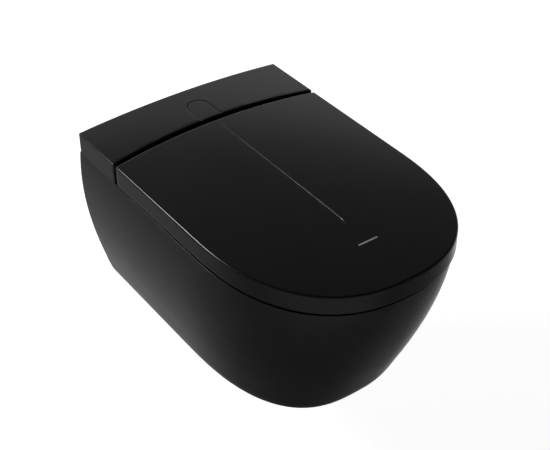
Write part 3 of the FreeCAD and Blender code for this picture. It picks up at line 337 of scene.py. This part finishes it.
def lid_outer_z(xy):
    """Crowned height, lowered in the fine centre groove."""
    deep = 1 - eased((np.abs(xy[..., 0]) - GROOVE_FLAT) / GROOVE_SLOPE)
    until = 1 - eased((GROOVE_END - xy[..., 1]) / GROOVE_FADE)
    return crown(xy) - GROOVE_DEPTH * deep * until


def lid_lower_edge(loop, rear_count):
    """Lower edge of the skirt: a slope along the sides, the barrel and its notches at the rear."""
    slope = (LID_SKIRT[1] - LID_SKIRT[0]) / (LID_REAR[0] + LENGTH)
    low = LID_SKIRT[0] + slope * (LID_REAR[0] - loop[:, 1])
    rear = loop[:rear_count]
    drop = np.sqrt(np.maximum(BARREL ** 2 - (rear[:, 1] - HINGE.y) ** 2, 0))
    barrel = np.maximum(HINGE.z - drop, LID_SKIRT[0])
    x = np.abs(rear[:, 0])
    notched = (x > NOTCH_X[0]) & (x < NOTCH_X[1])
    low[:rear_count] = np.where(notched, NOTCH_TOP, barrel)
    return low


def lid_shell():
    """Closed lid: crowned top, rolled edge, skirt with a small lip, and the inside one wall further in."""
    columns = lid_columns()
    right = lid_edge()
    rear = np.stack([columns, arch(columns, LID_REAR)], axis=1)
    left = right[:-1][::-1] * (-1, 1)
    loop = np.concatenate([rear, right, left])
    towards = inward(loop)
    rear_count, right_count = len(rear), len(right)

    def ring(inset):
        return loop + towards * inset

    def edges(inset):
        at = ring(inset)
        return at[:rear_count], at[rear_count:rear_count + right_count]

    def lip_row(angle, inset, side):
        return lifted(ring(inset + side * LIP * (1 - math.cos(angle))), low + LIP * (1 - math.sin(angle)))

    shape = Shape()
    shape.grid(lid_patch(edges(LID_ROUND), columns, lid_outer_z), flip=True)
    low = lid_lower_edge(loop, rear_count)
    lip_top = low + LIP
    top = lid_outer_z(ring(LID_ROUND))
    rows = rolled_edge(ring, top, LID_ROUND, ROLL_STEPS)
    rows += upright(loop, top - LID_ROUND, lip_top, SKIRT_STEPS)
    rows += [lip_row(angle, 0.0, 1) for angle in np.linspace(0, math.pi / 2, LIP_STEPS)[1:]]
    rows += [lip_row(angle, LID_WALL, -1) for angle in np.linspace(math.pi / 2, 0, LIP_STEPS)]
    inside_wall = ring(LID_WALL)
    rows += upright(inside_wall, lip_top, crown(inside_wall) - LID_WALL, INNER_STEPS)
    shape.grid(np.array(rows), loop=True)
    shape.grid(lid_patch(edges(LID_WALL), columns, lambda xy: crown(xy) - LID_WALL))
    return shape.build("lid_top")


# ---------------------------------------------------------------- cover and button
def blend_corners(corners, radii):
    """Closed loop through corners, each rounded by a short parabola that starts and ends a radius away."""
    corners = np.asarray(corners, float)
    before = np.roll(corners, 1, axis=0) - corners
    after = np.roll(corners, -1, axis=0) - corners
    before /= np.linalg.norm(before, axis=1, keepdims=True)
    after /= np.linalg.norm(after, axis=1, keepdims=True)
    start = corners + before * np.asarray(radii)[:, None]
    end = corners + after * np.asarray(radii)[:, None]
    t = np.linspace(0, 1, CORNER_STEPS)[None, :, None]
    loop = start[:, None] * (1 - t) ** 2 + corners[:, None] * 2 * t * (1 - t) + end[:, None] * t ** 2
    return loop.reshape(-1, 2)


def refined(loop, step):
    """The same closed loop with its long runs divided into equal steps."""
    pieces = []
    for here, there in zip(loop, np.roll(loop, -1, axis=0)):
        count = max(1, int(round(np.linalg.norm(there - here) / step)))
        pieces.append(here + (there - here) * np.arange(count)[:, None] / count)
    return np.concatenate(pieces)


def bent_front(loop):
    """Moves a loop with a straight front edge so that this edge follows its arch, fading out behind it."""
    share = np.clip((COVER_FRONT[0] + FRONT_FADE - loop[:, 1]) / FRONT_FADE, 0, 1)
    lift = arch(loop[:, 0], COVER_FRONT) - COVER_FRONT[0]
    return np.stack([loop[:, 0], loop[:, 1] + lift * share], axis=1)


def grid_inside(loop, spacing, margin):
    """Regular points inside a closed loop that stay a margin away from it."""
    low, high = loop.min(axis=0), loop.max(axis=0)
    xs = np.arange(low[0] + spacing / 2, high[0], spacing)
    ys = np.arange(low[1] + spacing / 2, high[1], spacing)
    spots = np.stack(np.meshgrid(xs, ys), axis=-1).reshape(-1, 2)
    near = np.min(np.linalg.norm(spots[:, None] - loop[None], axis=2), axis=1)
    return [spot for spot, gap in zip(spots, near) if gap > margin and inside(spot, loop)]


def edged_shell(loop, rounds, low, spacing):
    """Closed shell under the crown: top, rounded edge, walls, and the inside one wall further in."""
    towards = inward(loop)

    def ring(inset):
        return loop + towards * np.reshape(inset, (-1, 1))

    def ceiling(xy):
        return crown(xy) - COVER_WALL

    shape = Shape()
    top = ring(rounds)
    shape.fill(top, crown, within=grid_inside(top, spacing, spacing * 0.45))
    rows = rolled_edge(ring, crown(top), rounds, EDGE_STEPS)
    rows += upright(loop, crown(top) - rounds, low, WALL_STEPS)
    inner = ring(COVER_WALL)
    rows.append(lifted(inner, low))
    rows.append(lifted(inner, np.maximum(ceiling(inner), low)))
    shape.grid(np.array(rows), loop=True)
    shape.fill(inner, ceiling, flip=True, within=grid_inside(inner, spacing * 2, spacing))
    return shape


def slot_arc(radius, start, end):
    """Round rear end of the button's U, a half circle between two angles."""
    angle = np.linspace(start, end, ARC_STEPS)
    return np.stack([radius * np.cos(angle), BUTTON_CENTRE + radius * np.sin(angle)], axis=1)


def slot_wall():
    """Rows round the low wall under the button: an arched strip one wall thick."""
    x = np.linspace(-1, 1, FLAT_STEPS) * (SLOT_RADIUS + SLOT_LAP)
    front = arch(x, COVER_FRONT)
    rear = front + COVER_WALL
    top = np.full(len(x), BUTTON_LOW.z - BUTTON_TRAVEL - BUTTON_CLEAR)
    bottom = np.full(len(x), ARM_NOTCH_TOP)
    edges = [(front, bottom), (front, top), (rear, top), (rear, bottom), (front, bottom)]
    return np.array([np.stack([x, y, z], axis=1) for y, z in edges])


def cover_top():
    """Rear cover: a rectangle with an arched front edge that the button's U opens into."""
    front = COVER_FRONT[0]
    corners = [(-SLOT_RADIUS, front), (-HALF_WIDTH, front), (-HALF_WIDTH, COVER_REAR)]
    corners += [(-x, y) for x, y in reversed(corners)]
    corners += [(SLOT_RADIUS, BUTTON_CENTRE), (-SLOT_RADIUS, BUTTON_CENTRE)]
    outside = blend_corners(corners, [SLOT_CORNER, *[COVER_CORNER] * 4, SLOT_CORNER, 0, 0])
    arc = slot_arc(SLOT_RADIUS, 0, math.pi)
    loop = refined(np.concatenate([outside[:-2 * CORNER_STEPS], arc]), COVER_STEP)
    loop = bent_front(loop)
    beside = np.abs(loop[:, 0]) < SLOT_RADIUS + BUTTON_GAP / 2
    in_slot = beside & (loop[:, 1] < BUTTON_CENTRE + SLOT_RADIUS + BUTTON_GAP)
    rounds = np.where(in_slot, SLOT_ROUND, COVER_ROUND)
    low = np.where(in_slot, crown(loop) - COVER_WALL, COVER_BOTTOM)
    shape = edged_shell(loop, rounds, low, COVER_SPACING)
    shape.grid(slot_wall(), flip=True)
    return shape.build("cover_top")


def button_top():
    """Push button: the tongue inside the U, with a lip down its front edge."""
    front = COVER_FRONT[0]
    radius = BUTTON_RADIUS
    corners = [(radius, front), (-radius, front), (-radius, BUTTON_CENTRE), (radius, BUTTON_CENTRE)]
    outside = blend_corners(corners, [BUTTON_CORNER, BUTTON_CORNER, 0, 0])
    arc = slot_arc(radius, math.pi, 0)
    loop = refined(np.concatenate([outside[:-2 * CORNER_STEPS], arc]), BUTTON_STEP)
    loop = bent_front(loop)
    at_front = loop[:, 1] < arch(loop[:, 0], COVER_FRONT) + BUTTON_FRONT
    rounds = np.where(at_front, BUTTON_FRONT_ROUND, BUTTON_ROUND)
    low = np.where(at_front, BUTTON_LOW.z, crown(loop) - COVER_WALL)
    shape = edged_shell(loop, rounds, low, BUTTON_SPACING)
    shape.grid(turned(STEM_PROFILE, (0, STEM_Y)), loop=True)
    return shape.build("button_top")


def turned(profile, centre):
    """Rows of a surface of revolution: each (radius, z) of the profile carried round an upright line."""
    angle = np.linspace(0, 2 * math.pi, ROUND_STEPS, endpoint=False)
    radius, z = np.array(profile, float).T
    x = centre[0] + radius[:, None] * np.cos(angle)
    y = centre[1] + radius[:, None] * np.sin(angle)
    return np.stack([x, y, np.broadcast_to(z[:, None], x.shape)], axis=-1)


def spring_coil():
    """Button spring: a small circle carried along a helix, square to it, its ends closed to a point."""
    radius = (SPRING_HIGH.x - SPRING_LOW.x) / 2 - SPRING_WIRE
    turn = np.linspace(0, 2 * math.pi * SPRING_TURNS, TURN_STEPS * SPRING_TURNS + 1)
    rise = (SPRING_HIGH.z - SPRING_LOW.z - 2 * SPRING_WIRE) / turn[-1]
    level = np.zeros_like(turn)
    outwards = np.stack([np.cos(turn), np.sin(turn), level], axis=1)
    along = np.stack([-radius * np.sin(turn), radius * np.cos(turn), level + rise], axis=1)
    across = np.cross(along / np.linalg.norm(along, axis=1, keepdims=True), outwards)
    middle = outwards * radius + np.stack([level, level, rise * turn], axis=1)
    middle += (0, SPRING_Y, SPRING_LOW.z + SPRING_WIRE)
    angle = np.linspace(0, 2 * math.pi, WIRE_SIDES, endpoint=False)[None, :, None]
    circle = outwards[:, None] * np.cos(angle) + across[:, None] * np.sin(angle)
    foot, head = (np.repeat(middle[i][None, None], WIRE_SIDES, axis=1) for i in (0, -1))
    shape = Shape()
    shape.grid(np.concatenate([foot, middle[:, None] + SPRING_WIRE * circle, head]), loop=True)
    return shape.build("spring_coil", merge=SPRING_MERGE)


# ---------------------------------------------------------------- looks
def material(name):
    """A new node material, with its node tree and its Principled shader."""
    made = bpy.data.materials.new(name)
    made.use_nodes = True
    tree = made.node_tree
    shader = tree.nodes["Principled BSDF"]
    return made, tree, shader


def effect(name, inputs, outputs):
    """An empty shader node group with named sockets, and its nodes, links, input and output."""
    tree = bpy.data.node_groups.new(name, "ShaderNodeTree")
    for label, value in inputs:
        socket = tree.interface.new_socket(label, in_out="INPUT", socket_type="NodeSocketFloat")
        socket.default_value = value
    for label in outputs:
        tree.interface.new_socket(label, in_out="OUTPUT", socket_type="NodeSocketFloat")
    nodes = tree.nodes
    return tree, nodes, tree.links, nodes.new("NodeGroupInput"), nodes.new("NodeGroupOutput")


def object_place(nodes):
    """The piece's own coordinates."""
    return nodes.new("ShaderNodeTexCoord").outputs["Object"]


def noise(nodes, links, place, scale, detail, roughness, distortion=0.0):
    """A noise texture over a place; the scale is a number or a socket."""
    texture = nodes.new("ShaderNodeTexNoise")
    links.new(place, texture.inputs["Vector"])
    if isinstance(scale, (int, float)):
        texture.inputs["Scale"].default_value = scale
    else:
        links.new(scale, texture.inputs["Scale"])
    texture.inputs["Detail"].default_value = detail
    texture.inputs["Roughness"].default_value = roughness
    texture.inputs["Distortion"].default_value = distortion
    return texture.outputs["Fac"]


def ranged(nodes, links, value, source, target):
    """A value carried from one range to another, held at the ends."""
    mapped = nodes.new("ShaderNodeMapRange")
    links.new(value, mapped.inputs["Value"])
    for label, number in zip(("From Min", "From Max", "To Min", "To Max"), (*source, *target)):
        mapped.inputs[label].default_value = number
    return mapped.outputs["Result"]


def sums(nodes, links, operation, first, second):
    """One arithmetic step between a socket and a socket or number."""
    step = nodes.new("ShaderNodeMath")
    step.operation = operation
    links.new(first, step.inputs[0])
    if isinstance(second, (int, float)):
        step.inputs[1].default_value = second
    else:
        links.new(second, step.inputs[1])
    return step.outputs["Value"]


def stretched(nodes, links, turn, scale):
    """Object coordinates turned and stretched."""
    mapping = nodes.new("ShaderNodeMapping")
    mapping.inputs["Rotation"].default_value = turn
    mapping.inputs["Scale"].default_value = scale
    links.new(object_place(nodes), mapping.inputs["Vector"])
    return mapping.outputs["Vector"]


def surface_ripple():
    """The faint long waves of a fired glaze or a pressed gloss surface, with its broad cloudiness."""
    tree, nodes, links, given, out = effect("surface_ripple", [("Scale", 70.0)], ["Height", "Cloud"])
    place = object_place(nodes)
    ripple = noise(nodes, links, place, given.outputs["Scale"], 1.5, 0.4)
    cloud = noise(nodes, links, place, 5.0, 3.0, 0.55, 0.4)
    links.new(ripple, out.inputs["Height"])
    links.new(ranged(nodes, links, cloud, (0.3, 0.7), (0.0, 1.0)), out.inputs["Cloud"])
    return tree


def moulded_grain():
    """The spark-eroded grain of a moulding: fine noise over small pits, and a mask of uneven gloss."""
    tree, nodes, links, given, out = effect("moulded_grain", [("Scale", 900.0)], ["Height", "Cloud"])
    place = object_place(nodes)
    fine = noise(nodes, links, place, given.outputs["Scale"], 5.0, 0.65)
    pits = nodes.new("ShaderNodeTexVoronoi")
    pits.feature = "SMOOTH_F1"
    links.new(place, pits.inputs["Vector"])
    links.new(given.outputs["Scale"], pits.inputs["Scale"])
    links.new(sums(nodes, links, "ADD", fine, pits.outputs["Distance"]), out.inputs["Height"])
    cloud = noise(nodes, links, place, 22.0, 4.0, 0.6)
    links.new(ranged(nodes, links, cloud, (0.35, 0.65), (0.0, 1.0)), out.inputs["Cloud"])
    return tree


def hairlines():
    """Fine wiping marks: two crossing stretched noises, kept only at their crests and in patches."""
    tree, nodes, links, given, out = effect("hairlines", [("Scale", 30.0)], ["Mask"])
    marks = []
    for turn in ((0.2, 0.1, 0.6), (0.1, 0.3, -0.9)):
        place = stretched(nodes, links, turn, (1.0, 26.0, 26.0))
        line = noise(nodes, links, place, given.outputs["Scale"], 2.0, 0.5)
        marks.append(ranged(nodes, links, line, (0.66, 0.74), (0.0, 1.0)))
    place = object_place(nodes)
    patch = ranged(nodes, links, noise(nodes, links, place, 9.0, 2.0, 0.5), (0.45, 0.65), (0.1, 1.0))
    crossed = sums(nodes, links, "MAXIMUM", marks[0], marks[1])
    links.new(sums(nodes, links, "MULTIPLY", crossed, patch), out.inputs["Mask"])
    return tree


def brushing():
    """Long parallel brush marks along X, as a height and a mask."""
    tree, nodes, links, given, out = effect("brushing", [("Scale", 60.0)], ["Height", "Mask"])
    place = stretched(nodes, links, (0.0, 0.0, 0.0), (1.0, 40.0, 40.0))
    marks = noise(nodes, links, place, given.outputs["Scale"], 3.0, 0.6)
    links.new(marks, out.inputs["Height"])
    links.new(ranged(nodes, links, marks, (0.35, 0.65), (0.0, 1.0)), out.inputs["Mask"])
    return tree


RIPPLE = surface_ripple()
GRAIN = moulded_grain()
HAIRLINES = hairlines()
BRUSHING = brushing()
HAIRLINE_SCALE = 30.0


def placed_effect(tree, group, scale):
    """A shared effect put into one material with its own scale."""
    node = tree.nodes.new("ShaderNodeGroup")
    node.node_tree = group
    node.inputs["Scale"].default_value = scale
    return node


def finish_nodes(name, colour, tint, gloss, relief, scale, depth, metallic=0.0, wiped=0.0, soft_edge=0.0):
    """A finish: its material, node tree, shader and colour blend.

    The relief's second output, a cloud or a brushed mask, carries the colour towards the tint and the
    roughness between the two values of gloss. Its first output is the height of the bump, depth metres
    deep. wiped is the roughness that wiping marks add, and soft_edge the radius edges are shaded with.
    """
    made, tree, shader = material(name)
    nodes, links = tree.nodes, tree.links
    surface = placed_effect(tree, relief, scale)
    cloud = surface.outputs[1]
    blend = nodes.new("ShaderNodeMix")
    blend.data_type = "RGBA"
    blend.inputs["A"].default_value = (*colour, 1)
    blend.inputs["B"].default_value = (*tint, 1)
    links.new(cloud, blend.inputs["Factor"])
    links.new(blend.outputs["Result"], shader.inputs["Base Color"])
    rough = ranged(nodes, links, cloud, (0.0, 1.0), gloss)
    if wiped:
        marks = placed_effect(tree, HAIRLINES, HAIRLINE_SCALE).outputs["Mask"]
        rough = sums(nodes, links, "ADD", rough, sums(nodes, links, "MULTIPLY", marks, wiped))
    links.new(rough, shader.inputs["Roughness"])
    shader.inputs["Metallic"].default_value = metallic
    bump = nodes.new("ShaderNodeBump")
    bump.inputs["Strength"].default_value = 1.0
    bump.inputs["Distance"].default_value = depth
    links.new(surface.outputs[0], bump.inputs["Height"])
    if soft_edge:
        edge = nodes.new("ShaderNodeBevel")
        edge.samples = 4
        edge.inputs["Radius"].default_value = soft_edge
        links.new(edge.outputs["Normal"], bump.inputs["Normal"])
    links.new(bump.outputs["Normal"], shader.inputs["Normal"])
    return made, tree, shader, blend


def finished(*values, **options):
    """The material of a finish."""
    return finish_nodes(*values, **options)[0]


def circuit_board():
    """Green solder mask over straight copper tracks, which show as paler lines."""
    made, tree, shader, blend = finish_nodes("solder_mask", (0.012, 0.10, 0.045), (0.02, 0.14, 0.06),
                                             (0.28, 0.4), GRAIN, 500.0, 0.00001)
    tracks = tree.nodes.new("ShaderNodeTexBrick")
    tracks.inputs["Scale"].default_value = 90.0
    tracks.inputs["Mortar Size"].default_value = 0.06
    tracks.inputs["Color1"].default_value = (0, 0, 0, 1)
    tracks.inputs["Color2"].default_value = (0.12, 0.12, 0.12, 1)
    tracks.inputs["Mortar"].default_value = (1, 1, 1, 1)
    tree.links.new(object_place(tree.nodes), tracks.inputs["Vector"])
    over = tree.nodes.new("ShaderNodeMix")
    over.data_type = "RGBA"
    over.inputs["B"].default_value = (0.10, 0.30, 0.10, 1)
    tree.links.new(tracks.outputs["Color"], over.inputs["Factor"])
    tree.links.new(blend.outputs["Result"], over.inputs["A"])
    tree.links.new(over.outputs["Result"], shader.inputs["Base Color"])
    return made


LOOKS = {
    "ceramic": finished("black_glaze", (0.0105, 0.0105, 0.0112), (0.0145, 0.0145, 0.0150), (0.225, 0.275),
                        RIPPLE, 70.0, 0.00003, wiped=0.04, soft_edge=0.0012),
    "shell_plastic": finished("black_duroplast", (0.0110, 0.0110, 0.0118), (0.0140, 0.0140, 0.0146),
                              (0.185, 0.215), RIPPLE, 110.0, 0.00001, wiped=0.05),
    "inner_plastic": finished("dark_moulding", (0.040, 0.040, 0.044), (0.060, 0.060, 0.065), (0.48, 0.62),
                              GRAIN, 900.0, 0.00006, soft_edge=0.0004),
    "unit_plastic": finished("grey_moulding", (0.13, 0.14, 0.15), (0.18, 0.19, 0.20), (0.45, 0.6),
                             GRAIN, 700.0, 0.00007, soft_edge=0.0005),
    "rubber": finished("black_rubber", (0.018, 0.018, 0.018), (0.040, 0.039, 0.037), (0.66, 0.84),
                       GRAIN, 1400.0, 0.00005, soft_edge=0.0004),
    "steel": finished("brushed_steel", (0.52, 0.52, 0.53), (0.66, 0.66, 0.67), (0.24, 0.42),
                      BRUSHING, 60.0, 0.00002, metallic=1.0),
    "chrome": finished("satin_silver", (0.84, 0.84, 0.85), (0.95, 0.95, 0.96), (0.38, 0.48),
                       BRUSHING, 120.0, 0.000006, metallic=0.45, wiped=0.05),
    "brass": finished("machined_brass", (0.56, 0.40, 0.17), (0.70, 0.54, 0.28), (0.22, 0.44),
                      BRUSHING, 90.0, 0.00002, metallic=1.0, wiped=0.08, soft_edge=0.0004),
    "hose": finished("grey_silicone", (0.30, 0.32, 0.33), (0.40, 0.42, 0.43), (0.38, 0.5),
                     GRAIN, 500.0, 0.00004),
    "board": circuit_board(),
    "white_plastic": finished("white_moulding", (0.70, 0.71, 0.71), (0.80, 0.81, 0.80), (0.24, 0.36),
                              RIPPLE, 160.0, 0.00002, wiped=0.08, soft_edge=0.0004),
    "acetal": finished("natural_acetal", (0.66, 0.66, 0.63), (0.76, 0.76, 0.73), (0.36, 0.5),
                       GRAIN, 600.0, 0.00003, soft_edge=0.0003),
}

for part in frame["record"]["subparts"]:
    held = frame["nodes"][part["node"]].data.materials
    held.clear()
    held.append(LOOKS[part["material_slot"]])


def finish_piece(piece, body, nodes, slot):
    """Gives a piece its slot's look and hangs it on its body in place of its CAD nodes."""
    piece.data.materials.append(LOOKS[slot])
    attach(piece, body)
    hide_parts(*nodes)
    return piece


finish_piece(lid_shell(), "lid", ["lid_shell"], "shell_plastic")
finish_piece(cover_top(), "pan", ["rear_cover"], "shell_plastic")
finish_piece(button_top(), "button", ["push_button"], "shell_plastic")
coil = finish_piece(spring_coil(), "pan", ["button_spring"], "steel")
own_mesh(coil)

# ---------------------------------------------------------------- stage, light and camera
FLOOR_Z = -0.42
FLOOR_HALF = 12.0
AZIMUTH = math.radians(-35.787)
ELEVATION = math.radians(37.13)
CAMERA_PLACE = Vector((-0.8862, -1.5031, 1.1606))
LENS = 78.55                        # focal length and sensor width in millimetres
SENSOR_WIDTH = 36.0

# Brightness over the cosine to a direction: the horizontal one below, and straight up.
SKY_TOWARDS = (0.6, 0.8, 0)
SKY_SIDE = [(-1.0, 0.17), (-0.7, 0.17), (-0.25, 0.02), (0.0, 0.08),
            (0.24, 0.155), (0.5, 0.30), (0.72, 0.85), (1.0, 0.95)]
SKY_HEIGHT = [(-1.0, 0.15), (-0.9, 0.3), (-0.75, 0.8), (-0.5, 1.0),
              (0.0, 0.9), (0.25, 0.16), (0.6, 0.13), (1.0, 0.13)]


def floor():
    """A wide pale floor that glows a little, to stay nearly white, and that reflections don't see."""
    mesh = bpy.data.meshes.new("floor")
    corners = [(x * FLOOR_HALF, y * FLOOR_HALF, FLOOR_Z) for x, y in ((-1, -1), (1, -1), (1, 1), (-1, 1))]
    mesh.from_pydata(corners, [], [(0, 1, 2, 3)])
    piece = bpy.data.objects.new("floor", mesh)
    bpy.context.scene.collection.objects.link(piece)
    look, tree, shader = material("pale_floor")
    shader.inputs["Base Color"].default_value = (0.85, 0.85, 0.85, 1)
    shader.inputs["Roughness"].default_value = 0.9
    shader.inputs["Emission Color"].default_value = (1, 1, 1, 1)
    shader.inputs["Emission Strength"].default_value = 0.9
    piece.data.materials.append(look)
    piece.visible_glossy = False


def area_light(name, place, target, size, power):
    """A white rectangular lamp that faces its target and isn't seen by the camera."""
    light = bpy.data.lights.new(name, "AREA")
    light.shape = "RECTANGLE"
    light.size, light.size_y = size
    light.energy = power
    lamp = bpy.data.objects.new(name, light)
    lamp.location = place
    lamp.rotation_mode = "QUATERNION"
    lamp.rotation_quaternion = (Vector(target) - Vector(place)).to_track_quat("-Z", "Y")
    lamp.visible_camera = False
    bpy.context.scene.collection.objects.link(lamp)


def sky_value(nodes, links, direction, towards, stops):
    """Brightness of the studio as a ramp over the cosine between a ray and a fixed direction."""
    dot = nodes.new("ShaderNodeVectorMath")
    dot.operation = "DOT_PRODUCT"
    dot.inputs[1].default_value = towards
    links.new(direction, dot.inputs[0])
    ramp = nodes.new("ShaderNodeValToRGB")
    ramp.color_ramp.interpolation = "EASE"
    while len(ramp.color_ramp.elements) < len(stops):
        ramp.color_ramp.elements.new(0.5)
    for element, (place, value) in zip(ramp.color_ramp.elements, stops):
        element.position = (place + 1) / 2
        element.color = (value, value, value, 1)
    links.new(ranged(nodes, links, dot.outputs["Value"], (-1, 1), (0, 1)), ramp.inputs["Fac"])
    return ramp.outputs["Color"]


def world():
    """Studio surroundings: white to the camera, otherwise a dim room, bright low down and behind."""
    sky = bpy.data.worlds.new("studio")
    sky.use_nodes = True
    nodes, links = sky.node_tree.nodes, sky.node_tree.links
    direction = nodes.new("ShaderNodeTexCoord").outputs["Generated"]
    height = sky_value(nodes, links, direction, (0, 0, 1), SKY_HEIGHT)
    side = sky_value(nodes, links, direction, SKY_TOWARDS, SKY_SIDE)
    product = nodes.new("ShaderNodeMix")
    product.data_type, product.blend_type = "RGBA", "MULTIPLY"
    product.inputs["Factor"].default_value = 1
    links.new(height, product.inputs["A"])
    links.new(side, product.inputs["B"])
    white = nodes.new("ShaderNodeMix")
    white.data_type = "RGBA"
    white.inputs["B"].default_value = (1, 1, 1, 1)
    links.new(nodes.new("ShaderNodeLightPath").outputs["Is Camera Ray"], white.inputs["Factor"])
    links.new(product.outputs["Result"], white.inputs["A"])
    links.new(white.outputs["Result"], nodes["Background"].inputs["Color"])
    bpy.context.scene.world = sky


def camera():
    """The camera, from its turn round the object and its height angle, level with the horizon."""
    lens = bpy.data.cameras.new("camera")
    lens.lens = LENS
    lens.sensor_width = SENSOR_WIDTH
    eye = bpy.data.objects.new("camera", lens)
    back = Vector((math.sin(AZIMUTH) * math.cos(ELEVATION), -math.cos(AZIMUTH) * math.cos(ELEVATION),
                   math.sin(ELEVATION)))
    right = Vector((math.cos(AZIMUTH), math.sin(AZIMUTH), 0))
    up = back.cross(right)
    eye.matrix_world = Matrix.Translation(CAMERA_PLACE) @ Matrix((right, up, back)).transposed().to_4x4()
    bpy.context.scene.collection.objects.link(eye)
    bpy.context.scene.camera = eye


floor()
world()
area_light("back_screen", (1.0, 1.3, 0.28), (1.0, 0.0, 0.28), (4.0, 1.8), 8.8)
area_light("edge_light", (-1.5, 1.2, 1.25), (0.0, -0.3, 0.1), (0.8, 0.5), 22.0)
camera()
bpy.context.scene.view_settings.view_transform = "Standard"
